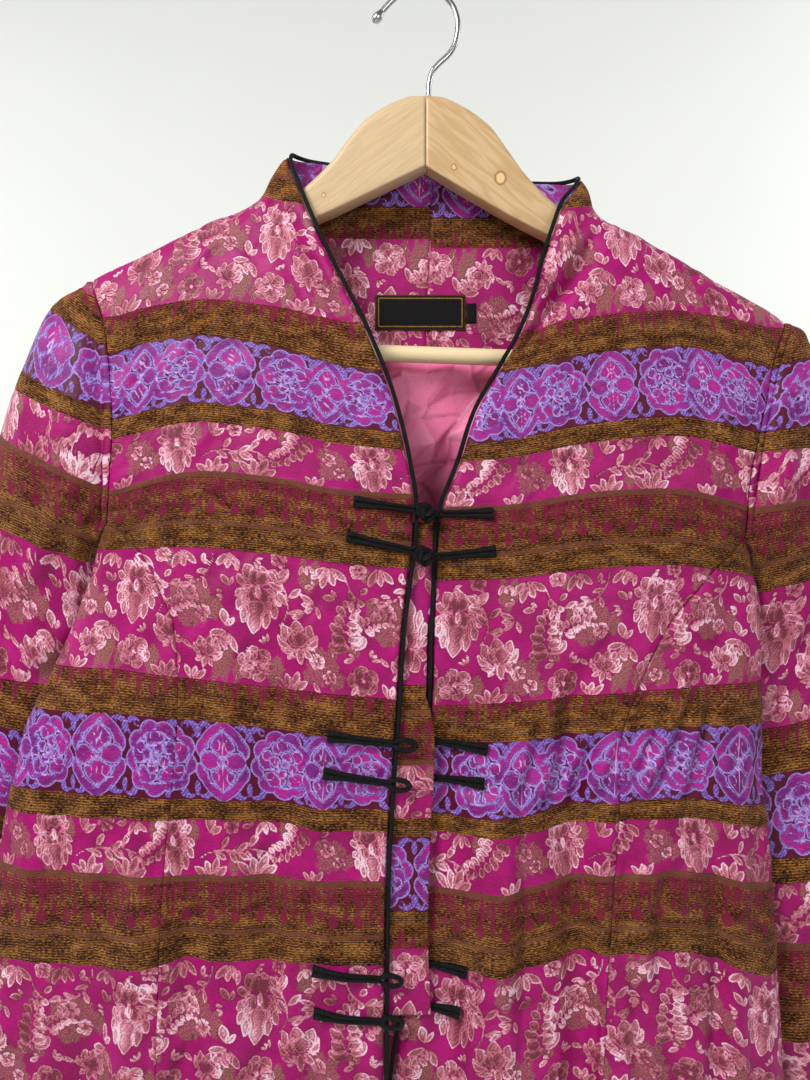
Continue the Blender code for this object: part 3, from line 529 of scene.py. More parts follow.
class Figure:
    """Woven petals: their signed depth in mm, positive inside, and their paleness."""

    def __init__(self):
        self.depth = np.full(grid_u.shape, -9.0)
        self.tone = np.full(grid_u.shape, 0.5)

    def lay(self, near, depth, tone, gap):
        """Put a shape over those laid before, with a line left round it."""
        below = self.depth[near]
        over = depth - gap > np.minimum(below, -depth - gap) if gap else depth > below
        self.tone[near] = np.where(over & (depth > -1.0), tone, self.tone[near])
        self.depth[near] = np.where(over, depth - gap, np.minimum(below, -depth - gap) if gap else below)

    def petal(self, u, v, angle, length, width, pale=0.5, belly=1.2, blunt=0.8, lobes=0.0, gap=GAP):
        """A petal from its base, along an angle in degrees; it grows paler to its tip."""
        a = math.radians(angle)
        du = wrapped(grid_u - u, REPEAT_U)
        dv = wrapped(grid_v - v, REPEAT_V)
        near = (np.abs(du) < length + 8) & (np.abs(dv) < length + 8)
        du = du[near]
        dv = dv[near]
        along = du * math.cos(a) + dv * math.sin(a)
        aside = -du * math.sin(a) + dv * math.cos(a)
        t = np.clip(along / length, 0.0, 1.0)
        half = width / 2 * np.sin(np.pi * t ** belly) ** blunt
        if lobes:
            half = half * (1 + 0.16 * np.cos(2 * np.pi * lobes * t))
        past = along - t * length
        depth = np.where(np.abs(past) < 1e-6, half - np.abs(aside), -np.hypot(past, aside))
        tone = pale + 0.62 * (t - 0.45) + 0.14 * np.clip(aside, -1, 1)
        self.lay(near, depth, tone, gap)

    def disc(self, u, v, radius, pale=0.5, gap=GAP):
        du = wrapped(grid_u - u, REPEAT_U)
        dv = wrapped(grid_v - v, REPEAT_V)
        away = np.hypot(du, dv)
        near = away < radius + 8
        self.lay(near, radius - away[near], pale + 0.2 * away[near] / radius, gap)

    def stem(self, points, width, pale=0.6):
        """A thin line through points, laid under nothing."""
        for (u0, v0), (u1, v1) in zip(points, points[1:]):
            du = wrapped(grid_u - u0, REPEAT_U)
            dv = wrapped(grid_v - v0, REPEAT_V)
            eu, ev = u1 - u0, v1 - v0
            reach = math.hypot(eu, ev) + 6
            near = (np.abs(du) < reach) & (np.abs(dv) < reach)
            du = du[near]
            dv = dv[near]
            t = np.clip((du * eu + dv * ev) / (eu * eu + ev * ev), 0.0, 1.0)
            depth = width / 2 - np.hypot(du - t * eu, dv - t * ev)
            below = self.depth[near]
            self.tone[near] = np.where((depth > below) & (depth > -1), pale, self.tone[near])
            self.depth[near] = np.maximum(below, depth)

    def curl(self, u, v, radius, start, sweep, width, tighten=0.55):
        """A thin spiral line about a point, over angles in degrees."""
        path = []
        for k in range(11):
            a = math.radians(start + sweep * k / 10)
            r = radius * (1 - tighten * k / 10)
            path.append((u + r * math.cos(a), v + r * math.sin(a)))
        self.stem(path, width)

    def crescent(self, u, v, radius, angle):
        """A tapering scroll: a disc less a smaller one that lies towards an angle."""
        a = math.radians(angle)
        du = wrapped(grid_u - u, REPEAT_U)
        dv = wrapped(grid_v - v, REPEAT_V)
        shift = 0.42 * radius
        outer = radius - np.hypot(du, dv)
        inner = np.hypot(du - shift * math.cos(a), dv - shift * math.sin(a)) - 0.76 * radius
        self.depth = np.maximum(self.depth, np.minimum(outer, inner))


def sample(raster, u, v):
    """Value of a raster at places on the cloth, from the four cells round each."""
    a = (u % REPEAT_U) / CELL
    b = (v % REPEAT_V) / CELL
    rows, columns = raster.shape
    i = np.floor(a).astype(int)
    j = np.floor(b).astype(int)
    s = a - i
    t = b - j
    i0, i1 = i % rows, (i + 1) % rows
    j0, j1 = j % columns, (j + 1) % columns
    low = raster[i0, j0] * (1 - s) + raster[i1, j0] * s
    high = raster[i0, j1] * (1 - s) + raster[i1, j1] * s
    return low * (1 - t) + high * t


def pendant_bloom(figure, u, v, turn, size):
    """A hanging bloom: short wings above, and long pointed petals below."""
    for angle, reach, width in (
        (-164, 0.74, 0.44), (-16, 0.74, 0.44), (-128, 0.78, 0.5), (-52, 0.78, 0.5),
        (-90, 0.66, 0.52),
    ):
        figure.petal(u, v, angle + turn, size * reach, size * width, 0.5, 1.5, 0.7)
    for angle, reach, width in (
        (150, 0.8, 0.42), (30, 0.86, 0.42), (126, 1.02, 0.48), (54, 1.06, 0.48),
        (108, 1.24, 0.46), (74, 1.28, 0.46), (91, 1.46, 0.5),
    ):
        figure.petal(u, v, angle + turn, size * reach, size * width, 0.6, 1.15, 0.6, 2.5)
    for angle in (-112, -66, 62, 116):
        figure.petal(u, v, angle + turn, size * 0.5, size * 0.36, 0.08, 1.3, 0.6)
    figure.petal(u, v - 0.1 * size, 90 + turn, size * 0.5, size * 0.2, 0.85, 1.0, 0.8)


def round_bloom(figure, u, v, radius, petals, turn=0, pale=0.5):
    """A scalloped bloom in two rings of petals round a core."""
    for ring, (reach, start, width) in enumerate(((1.0, 0.2, 0.78), (0.62, 0.1, 0.5))):
        for k in range(petals - ring):
            angle = turn + 25 * ring + 360 * k / (petals - ring)
            a = math.radians(angle)
            figure.petal(
                u + radius * start * math.cos(a), v + radius * start * math.sin(a), angle,
                radius * (reach - start), radius * width * 6.5 / petals,
                pale - 0.3 * ring, 1.7, 0.55,
            )
    figure.disc(u, v, radius * 0.17, pale + 0.4)


def cup_bloom(figure, u, v, turn, size):
    """A bloom from the side: a fan of pointed petals over its sepals."""
    for angle in (-168, -12):
        figure.petal(u, v + 0.25 * size, angle + turn, size * 0.72, size * 0.26, 0.7, 1.0, 0.8)
    for angle, reach, pale in (
        (-140, 0.9, 0.7), (-40, 0.9, 0.7), (-118, 1.05, 0.6), (-62, 1.05, 0.6),
        (-90, 1.12, 0.55), (-104, 0.72, 0.3), (-76, 0.72, 0.3),
    ):
        figure.petal(u, v + 0.3 * size, angle + turn, size * reach, size * 0.46, pale, 1.4, 0.6, 1.5)
    for angle in (138, 42, 90):
        figure.petal(u, v + 0.15 * size, angle + turn, size * 0.6, size * 0.3, 0.6, 0.9, 0.7)


def plume(figure, u, v, turn, length):
    """A long curled leaf of short lobes on both sides of a bent rib."""
    angle = turn
    step = length / 7
    for k in range(7):
        size = length * (0.36 - 0.028 * k)
        for swing, pale in ((66, 0.75), (-62, 0.35)):
            reach = size * (1.0 - 0.18 * (k % 2))
            figure.petal(u, v, angle + swing, reach, size * 0.66, pale, 1.4, 0.6)
        u += step * math.cos(math.radians(angle))
        v += step * math.sin(math.radians(angle))
        angle += 9
    figure.petal(u, v, angle, length * 0.2, length * 0.13, 0.7, 1.2, 0.7)


def sprig(figure, u, v, turn, length, leaves=6, bend=7):
    """A thin stem with leaflets that alternate along it."""
    angle = turn
    step = length / leaves
    path = [(u, v)]
    for k in range(leaves):
        u += step * math.cos(math.radians(angle))
        v += step * math.sin(math.radians(angle))
        path.append((u, v))
        if k:
            swing = 52 if k % 2 else -48
            figure.petal(u, v, angle + swing, length * 0.42, length * 0.19, 0.6, 1.2, 0.7)
        angle += bend
    figure.petal(u, v, angle, length * 0.42, length * 0.19, 0.7, 1.2, 0.7)
    figure.stem(path, 1.1)


def fan(figure, u, v, turn, size, leaves=4):
    """Slim leaves that spread from one point."""
    for k in range(leaves):
        angle = turn + (k - (leaves - 1) / 2) * 34
        reach = size * (1.0 - 0.12 * (k % 2))
        figure.petal(u, v, angle, reach, size * 0.38, 0.55 + 0.15 * (k % 2), 1.3, 0.7)


def shaded_bloom(pale, shade, u, v, radius, turn):
    """A large hatched bloom with two small pale ones upon it."""
    for k in range(7):
        angle = turn + 51 * k
        reach = radius * (1.05, 0.72, 0.9, 0.66, 1.0, 0.8, 0.7)[k]
        a = math.radians(angle)
        shade.petal(u, v, angle, reach, radius * 0.6, 0.5, 1.5, 0.7, 2.5, gap=0.3)
        for swing in (-48, 44):
            shade.petal(
                u + 0.45 * reach * math.cos(a), v + 0.45 * reach * math.sin(a), angle + swing,
                reach * 0.55, radius * 0.24, 0.5, 1.2, 0.8,
            )
    for du, dv, size in ((-0.2, -0.28, 0.34), (0.3, 0.3, 0.3)):
        round_bloom(pale, u + du * radius, v + dv * radius, radius * size, 5, turn, 0.62)
    for k in range(6):
        a = math.radians(turn + 60 * k + 20)
        pale.petal(
            u + 0.62 * radius * math.cos(a), v + 0.62 * radius * math.sin(a), turn + 60 * k + 60,
            radius * 0.26, radius * 0.1, 0.4,
        )


def buds(figure, shade, u, v, turn, size):
    """Three hatched ovals on a forked stem."""
    for angle, reach in ((turn - 48, 1.0), (turn, 1.25), (turn + 50, 0.9)):
        a = math.radians(angle)
        tip = (u + size * reach * math.cos(a), v + size * reach * math.sin(a))
        figure.stem([(u, v), tip], 1.1)
        shade.petal(*tip, angle, size * 0.8, size * 0.6, 0.7, 1.0, 0.6)
        figure.petal(
            tip[0] + 1.5 * math.cos(a), tip[1] + 1.5 * math.sin(a), angle, size * 0.5, size * 0.2, 0.4
        )


def fill_gaps(pale, low, high, seed):
    """Small leaves and blooms wherever the figures between two heights leave room."""
    draw = np.random.default_rng(seed)
    for _ in range(260):
        u = draw.uniform(0, REPEAT_U)
        v = draw.uniform(low, high)
        turn = draw.uniform(0, 360)
        kind = draw.integers(3)
        tone = draw.uniform(0.2, 0.75)
        room = -float(pale.depth[int(u / CELL), int(v / CELL)])
        if room > 6.0 and kind == 0:
            round_bloom(pale, u, v, room * 0.8, 5, turn, tone)
        elif room > 5.2 and kind == 1:
            fan(pale, u, v, turn, room * 1.25, 3)
        elif room > 5.0:
            a = math.radians(turn)
            start = (u - 0.8 * room * math.cos(a), v - 0.8 * room * math.sin(a))
            pale.petal(*start, turn, room * 1.6, room * 0.8, tone)
            pale.petal(*start, turn + 48, room * 1.1, room * 0.5, tone)


def weave_florals():
    """The two floral stripes: pale figures, and hatched blooms behind some of them."""
    pale = Figure()
    shade = Figure()
    # wide stripe
    shaded_bloom(pale, shade, 101, 193, 18, 10)
    shaded_bloom(pale, shade, 60, 225, 15, 40)
    for u, v, turn, length, width in (
        (2, 239, -96, 27, 9), (8, 239, -72, 20, 8), (112, 239, -60, 25, 9),
        (48, 159, 80, 22, 9), (56, 159, 100, 19, 8), (84, 160, 70, 13, 7),
        (30, 240, -80, 20, 9),
    ):
        shade.petal(u, v, turn, length, width, 0.45, 1.2, 0.7, 3, gap=0)
    plume(pale, 76, 212, -108, 36)
    pendant_bloom(pale, 22, 180, 6, 20)
    sprig(pale, 34, 202, -52, 27, 6, -14)
    cup_bloom(pale, 46, 211, -6, 18)
    round_bloom(pale, 20, 226, 11, 6, 15, 0.5)
    buds(pale, shade, 66, 202, 40, 10)
    fan(pale, 42, 241, -92, 14, 4)
    round_bloom(pale, 84, 230, 9.5, 5, 40, 0.35)
    cup_bloom(pale, 108, 222, 14, 14)
    fan(pale, 92, 160, 78, 14, 3)
    fan(pale, 62, 162, 84, 15, 4)
    fan(pale, 4, 160, 96, 13, 3)
    fan(pale, 4, 208, 118, 14, 4)
    fan(pale, 100, 241, -80, 12, 3)
    fan(pale, 56, 186, 170, 11, 3)
    sprig(pale, 112, 162, 96, 21, 4, 16)
    sprig(pale, 74, 170, 70, 22, 4, -20)
    sprig(pale, 8, 238, -78, 20, 4, 20)
    plume(pale, 84, 198, -40, 22)
    for u, v, turn in (
        (54, 232, 60), (38, 166, 120), (10, 163, 100), (92, 214, 40), (56, 186, 75),
        (76, 241, -60), (78, 180, 100), (116, 212, 50), (34, 216, 10), (50, 192, 150),
    ):
        pale.petal(u, v, turn, 10, 3.8, 0.6)
    # narrow stripe
    shaded_bloom(pale, shade, 66, 96, 13, 25)
    for u, v, turn, length, width in (
        (84, 112, -80, 22, 8), (6, 112, -80, 18, 8), (100, 80, 95, 14, 8), (34, 80, 70, 12, 7),
    ):
        shade.petal(u, v, turn, length, width, 0.45, 1.2, 0.7, 3, gap=0)
    sprig(pale, 0, 100, -30, 26, 5, 13)
    plume(pale, 46, 82, 108, 29)
    pendant_bloom(pale, 88, 89, -8, 17)
    sprig(pale, 104, 102, -35, 23, 5, 12)
    fan(pale, 20, 114, -84, 16, 4)
    fan(pale, 112, 114, -96, 14, 4)
    fan(pale, 56, 114, -100, 11, 3)
    fan(pale, 24, 79, 80, 11, 3)
    fill_gaps(pale, 82, 110, 7)
    fill_gaps(pale, 161, 237, 8)
    return pale, shade


def weave_medallions():
    """The violet stripe: blooms and pointed ogees in turn, with curls between."""
    shape = Figure()
    curls = Figure()
    middle = 46
    for u, radius in ((36, 18.5), (84, 17.5)):
        for k in range(9):
            a = math.radians(40 * k + 12)
            shape.disc(
                u + 0.7 * radius * math.cos(a), middle + 0.78 * radius * math.sin(a),
                radius * 0.36, 0.3, gap=0,
            )
        shape.disc(u, middle, radius * 0.84, 0.35, gap=0)
        for k in range(5):
            a = 72 * k + 50
            shape.petal(u, middle, a, radius * 0.8, radius * 0.74, 0.35, 1.7, 0.5, gap=0.55)
        for k in range(4):
            shape.petal(u, middle, 90 * k + 20, radius * 0.46, radius * 0.42, 0.6, 1.5, 0.6, gap=0.5)
        shape.disc(u, middle, radius * 0.14, 0.8, gap=0.4)
    for u, width in ((0, 16.5), (60.5, 13.0)):
        for k in range(6):
            a = math.radians(60 * k + 30)
            shape.disc(
                u + 0.66 * width * math.cos(a), middle + 13 * math.sin(a), width * 0.42, 0.3, gap=0
            )
        for turn in (-90, 90):
            shape.petal(u, middle, turn, 23, width * 1.7, 0.35, 0.75, 0.7, gap=0)
        for turn in (-90, 90):
            shape.petal(u, middle, turn, 17, width * 1.0, 0.45, 0.85, 0.8, gap=0.55)
        for turn in (0, 180):
            shape.petal(u, middle, turn, width * 0.85, 12, 0.5, 1.3, 0.6, gap=0.5)
    for u in (16, 51, 71, 102.5):
        for edge, way in ((24, 1), (68, -1)):
            for flip in (-1, 1):
                curls.crescent(u + flip * 4.6, edge + way * 5.6, 5.2, way * 90 - flip * 60)
                curls.curl(u + flip * 7.6, edge + way * 3.4, 2.4, way * 60, flip * way * 300, 1.1)
            curls.petal(u, edge + way * 1, 90 * way, 10, 4.2)
    return shape, curls


def weave_threads():
    """Thin pale threads that curl over the medallions."""
    threads = Figure()
    middle = 46
    for u, radius, lobes in ((36, 17, 6), (84, 16, 5)):
        for k in range(lobes):
            a = 2 * math.pi * k / lobes + 0.4
            place = (u + 0.6 * radius * math.cos(a), middle + 0.66 * radius * math.sin(a))
            threads.curl(*place, 0.29 * radius, math.degrees(a) + 200, -330, 0.7)
        threads.curl(u, middle, 0.34 * radius, 20, 520, 0.7, 0.8)
    for u, width in ((0, 16.5), (60.5, 13.0)):
        for way in (-1, 1):
            for flip in (-1, 1):
                threads.curl(
                    u + flip * 0.36 * width, middle + way * 8.5, 0.3 * width,
                    90 * way - 40 * flip, 250 * flip * way, 0.7,
                )
        threads.stem([(u, middle - 17), (u, middle + 17)], 0.6)
        threads.curl(u, middle, 0.2 * width, 0, 360, 0.7, 0.0)
    return threads


def weave_drips():
    """Magenta that shows through the brown pile: drips, streaks and a row of drops."""
    drips = Figure()
    draw = np.random.default_rng(11)
    u = 0.0
    while u < REPEAT_U - 5:
        drips.petal(u, -3.5, 90, draw.uniform(9, 19), draw.uniform(2.6, 5.2), 0.5, 0.8, 0.6, 2, gap=0)
        drips.petal(u + draw.uniform(2, 5), -3, 90, draw.uniform(5, 9), 2.6, 0.5, 0.8, 0.6, gap=0)
        u += draw.uniform(6.5, 11.5)
    for k in range(13):
        u = REPEAT_U * (k + draw.uniform(-0.2, 0.2)) / 13
        drips.petal(u, 112, 90, draw.uniform(12, 20), draw.uniform(2.6, 4.4), 0.5, 0.7, 0.6, gap=0)
        drips.petal(u + 4, 114, 90, draw.uniform(9, 15), 2.4, 0.5, 0.9, 0.6, gap=0)
    for k in range(8):
        u = REPEAT_U * (k + 0.5) / 8
        drips.petal(u, 127, 90, 11.5, 6.2, 0.5, 1.9, 0.8, gap=0)
        drips.petal(u + REPEAT_U / 16, 126, 90, 8, 3.6, 0.5, 1.6, 0.8, gap=0)
    return drips


FLORALS, SHADES = weave_florals()
MEDALLIONS, CURLS = weave_medallions()
THREADS = weave_threads()
DRIPS = weave_drips()


def on_violet(v):
    place = v % REPEAT_V
    return (place > VIOLET[0]) & (place < VIOLET[1])


def figures(u, v):
    """The figures' depths at places on the cloth, as one vector a point."""
    violet = on_violet(v)
    first = np.where(violet, sample(MEDALLIONS.depth, u, v), sample(FLORALS.depth, u, v))
    second = np.where(violet, sample(CURLS.depth, u, v), sample(SHADES.depth, u, v))
    third = np.where(violet, sample(THREADS.depth, u, v), sample(DRIPS.depth, u, v))
    return np.stack([first, second, third], axis=-1)


def place_on(u, v):
    """Place on the cloth in mm, and the paleness of the figure there."""
    violet = on_violet(v)
    tone = np.where(violet, sample(MEDALLIONS.tone, u, v), sample(FLORALS.tone, u, v))
    return np.stack([u, v, tone], axis=-1)


# ---- creases --------------------------------------------------------------------------
# Each crease: points x z down its line, half width, depth inwards, and lean, the share of
# it that stands up as a ridge beside the trough. Depths below zero are ridges.
CREASES = {
    "front_left": [
        ([(-86.5, -424), (-86, -440), (-83, -456)], 3.6, 2.4, 0.5),
        ([(-150, -352), (-134, -420), (-128, -520), (-126, -640)], 13, 1.7, 0.3),
        ([(-116, -226), (-104, -300), (-98, -372)], 15, 1.2, 0.3),
        ([(-60, -250), (-44, -330), (-40, -410)], 12, -1.0, 0.2),
        ([(-70, -500), (-64, -600), (-60, -740)], 8, 3.2, 0.6),
        ([(-40, -560), (-38, -650), (-36, -760)], 8, 2.2, 0.4),
        ([(-106, -560), (-110, -650), (-112, -765)], 10, -2.4, 0.3),
        ([(-142, -540), (-138, -620), (-140, -720)], 7, 3.0, 0.6),
        ([(-186, -212), (-176, -260), (-178, -310)], 9, 1.6, 0.4),
        ([(-86, -138), (-74, -172), (-58, -206), (-48, -234)], 5, -2.2, 0.6),
        ([(-160, -300), (-138, -316), (-112, -322)], 9, 0.9, 0.3),
    ],
    "side_front_left": [
        ([(-196, -356), (-186, -420), (-184, -520)], 13, 2.2, 0.4),
        ([(-222, -430), (-216, -520), (-220, -640)], 12, 2.0, 0.4),
        ([(-170, -450), (-176, -560), (-184, -700)], 10, -1.4, 0.3),
        ([(-244, -500), (-246, -600), (-250, -740)], 10, 1.6, 0.3),
        ([(-200, -600), (-206, -680), (-212, -765)], 12, 1.8, 0.4),
    ],
    "front_right": [
        ([(115, -146), (94, -184), (73, -214), (50, -246)], 5.5, 6.0, 0.7),
        ([(106, -404), (93, -436), (84, -456), (80, -480)], 6.5, 3.0, 0.75),
        ([(72, -444), (66, -476), (56, -508)], 3.6, 3.8, 0.6),
        ([(90, -450), (82, -482), (72, -512)], 3.4, 3.4, 0.6),
        ([(106, -458), (94, -488), (90, -514)], 3.4, 3.0, 0.6),
        ([(126, -452), (114, -482), (104, -510)], 3.8, 3.2, 0.6),
        ([(56, -470), (62, -560), (60, -680)], 8, 3.6, 0.6),
        ([(92, -520), (96, -620), (90, -760)], 7, 4.6, 0.6),
        ([(46, -600), (40, -680), (42, -765)], 6, 3.8, 0.6),
        ([(30, -540), (24, -640), (18, -760)], 9, -1.4, 0.3),
        ([(204, -250), (192, -290), (186, -340)], 9, 1.6, 0.4),
        ([(166, -230), (150, -310), (128, -380)], 15, 1.2, 0.3),
        ([(60, -270), (52, -340), (54, -420)], 12, -0.9, 0.2),
        ([(180, -320), (160, -344), (134, -356)], 8, 1.2, 0.4),
    ],
    "side_front_right": [
        ([(196, -360), (176, -420), (168, -500)], 12, 2.8, 0.5),
        ([(166, -428), (148, -474), (134, -512)], 4, 4.4, 0.6),
        ([(180, -436), (164, -480), (154, -514)], 3.6, 3.6, 0.6),
        ([(150, -440), (136, -470), (128, -490)], 3.4, 2.6, 0.6),
        ([(146, -520), (140, -580), (144, -640)], 6, 3.6, 0.6),
        ([(176, -520), (180, -600), (176, -700)], 7, 4.4, 0.6),
        ([(204, -430), (202, -520), (206, -620)], 9, 1.5, 0.4),
        ([(126, -560), (128, -660), (122, -765)], 6, 4.0, 0.6),
        ([(156, -600), (160, -690), (166, -765)], 8, -3.4, 0.4),
        ([(200, -600), (204, -690), (212, -765)], 7, 3.6, 0.6),
    ],
    "back_left": [
        ([(-40, -200), (-70, -260), (-120, -330)], 16, 1.6, 0.4),
        ([(-182, -240), (-160, -320), (-158, -400)], 13, 2.2, 0.4),
        ([(-60, -400), (-70, -540), (-66, -740)], 14, 2.0, 0.4),
        ([(-130, -440), (-138, -560), (-150, -765)], 13, 2.2, 0.4),
        ([(-200, -430), (-206, -560), (-220, -740)], 12, 2.0, 0.4),
        ([(-24, -560), (-28, -660), (-26, -765)], 10, -1.4, 0.3),
    ],
    "back_right": [
        ([(50, -210), (84, -270), (136, -340)], 16, 1.6, 0.4),
        ([(198, -260), (174, -330), (168, -410)], 13, 2.2, 0.4),
        ([(50, -420), (58, -540), (54, -740)], 13, 1.8, 0.4),
        ([(112, -430), (118, -560), (124, -765)], 13, 2.2, 0.4),
        ([(178, -440), (176, -560), (186, -740)], 11, 2.0, 0.4),
        ([(84, -600), (86, -680), (90, -765)], 10, -1.4, 0.3),
    ],
}


def crease_depth(creases, a, b):
    """Depth, in metres, of a panel's creases at points given in mm."""
    total = np.zeros(np.shape(a))
    for path, half, depth, lean in creases:
        path = np.array(path, dtype=float)
        length = np.linalg.norm(np.diff(path, axis=0), axis=1)
        starts = running(length)
        nearest = np.full(np.shape(a), 1e9)
        aside = np.zeros(np.shape(a))
        place = np.zeros(np.shape(a))
        for k in range(len(length)):
            du, dv = (path[k + 1] - path[k]) / length[k]
            along = (a - path[k, 0]) * du + (b - path[k, 1]) * dv
            held = np.clip(along, 0, length[k])
            away = np.hypot(a - path[k, 0] - held * du, b - path[k, 1] - held * dv)
            side = (a - path[k, 0]) * dv - (b - path[k, 1]) * du
            closer = away < nearest
            nearest = np.where(closer, away, nearest)
            aside = np.where(closer, np.sign(side) * away, aside)
            place = np.where(closer, (starts[k] + held) / starts[-1], place)
        fade = smooth_step(place / 0.3) * smooth_step((1 - place) / 0.35)
        q = aside / half
        shape = np.exp(-np.abs(q) ** 1.5) - lean * np.exp(-((q - 1.7) ** 2))
        shape = shape - 0.5 * lean * np.exp(-((q + 1.9) ** 2))
        total += depth * fade * shape
    return total * MM


def seam_dip(away, deep, wide):
    """Inward roll of the cloth into a seam, by the distance from it."""
    return deep * np.clip(1 - away / wide, 0.0, 1.0) ** 2


def pucker(away, along, seed, tall=0.45 * MM, reach=11 * MM, size=9.0):
    """Small gathers beside a seam, that die out away from it."""
    return tall * np.exp(-away / reach) * ripple(along / MM, away / MM * 0.35, size, seed)


# ---- meshes ---------------------------------------------------------------------------
def normals_of(points, outward):
    """Unit normals of a grid of points, all on the side that outward points to."""
    across = np.gradient(points, axis=1)
    down = np.gradient(points, axis=0)
    normal = np.cross(across, down)
    normal /= np.maximum(np.linalg.norm(normal, axis=2, keepdims=True), 1e-12)
    flip = np.sum(normal * outward) < 0
    return (-normal if flip else normal), not flip


def turned(points, normals, deep=(0.7 * MM, 1.7 * MM)):
    """The grid with its edges turned inwards, so that no bare edge shows."""
    count = len(deep)
    padded = np.pad(points, ((count, count), (count, count), (0, 0)), mode="edge")
    facing = np.pad(normals, ((count, count), (count, count), (0, 0)), mode="edge")
    row = np.zeros(padded.shape[0])
    column = np.zeros(padded.shape[1])
    for k, depth in enumerate(deep):
        row[[count - 1 - k, -count + k]] = depth
        column[[count - 1 - k, -count + k]] = depth
    return padded - facing * np.maximum(row[:, None], column[None, :])[..., None]


def grid_quads(rows, columns, closed=False):
    """Corners of each face of a grid, whose rows run round where it is closed."""
    index = np.arange(rows * columns).reshape(rows, columns)
    if closed:
        index = np.hstack([index, index[:, :1]])
    corners = [index[:-1, :-1], index[:-1, 1:], index[1:, 1:], index[1:, :-1]]
    return np.stack(corners, axis=-1).reshape(-1, 4)


def add_piece(name, node, sheets, materials):
    """One object for a node, from grids of points with their slots and their values."""
    points = []
    faces = []
    slots = []
    cloth = []
    figure = []
    start = 0
    for sheet in sheets:
        grid = sheet["points"]
        rows, columns = grid.shape[:2]
        quads = grid_quads(rows, columns, sheet.get("closed")) + start
        if sheet.get("flip"):
            quads = quads[:, ::-1]
        count = rows * columns
        points.append(grid.reshape(-1, 3))
        faces.append(quads)
        slots.append(np.broadcast_to(sheet.get("slot", 0), (len(quads),)))
        cloth.append(sheet.get("cloth", np.zeros((rows, columns, 3))).reshape(count, 3))
        figure.append(sheet.get("figure", np.zeros((rows, columns, 3))).reshape(count, 3))
        start += count
    points = np.concatenate(points)
    faces = np.concatenate(faces)
    data = bpy.data.meshes.new(name)
    data.vertices.add(len(points))
    data.vertices.foreach_set("co", points.ravel().astype(np.float32))
    data.loops.add(faces.size)
    data.loops.foreach_set("vertex_index", faces.ravel().astype(np.int32))
    data.polygons.add(len(faces))
    data.polygons.foreach_set("loop_start", np.arange(0, faces.size, 4, dtype=np.int32))
    data.polygons.foreach_set("material_index", np.concatenate(slots).astype(np.int32))
    data.polygons.foreach_set("use_smooth", np.ones(len(faces), dtype=bool))
    for label, values in (("cloth", cloth), ("figure", figure)):
        layer = data.attributes.new(label, "FLOAT_VECTOR", "POINT")
        layer.data.foreach_set("vector", np.concatenate(values).ravel().astype(np.float32))
    data.update(calc_edges=True)
    for material in materials:
        data.materials.append(material)
    thing = bpy.data.objects.new(name, data)
    bpy.context.scene.collection.objects.link(thing)
    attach(thing, "root")
    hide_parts(node)
    return thing


def raised(points, normals, height):
    return points + normals * height[..., None]


def brocade_sheet(points, flip, u, v, **more):
    """A sheet of brocade, whose place on the cloth is carried on over its turned edges."""
    edge = (points.shape[0] - v.shape[0]) // 2
    u = np.pad(u, edge, mode="edge")
    v = np.pad(v, edge, mode="edge")
    return {
        "points": points, "flip": flip, "cloth": place_on(u, v), "figure": figures(u, v), **more,
    }


def drape(u, v, z, seed):
    """Unevenness of the cloth between its creases: soft lumps, and folds that hang."""
    hang = 0.2 + smooth_step((-0.36 - z) / 0.24)
    loose = smooth_step(0.5 + 1.6 * ripple(u, v, 70, seed + 7))
    total = 0.9 * MM * ripple(u, v, 38, seed) + 0.5 * MM * ripple(u, v, 15, seed + 1)
    total = total + 4.0 * MM * hang * ripple(u + 0.12 * v, v * 0.15, 23, seed + 5)
    total = total + 1.2 * MM * loose * ripple(u + 0.7 * v, (v - 0.6 * u) * 0.3, 8.5, seed + 6)
    return total + 0.09 * MM * ripple(u, v, 4.5, seed + 2)


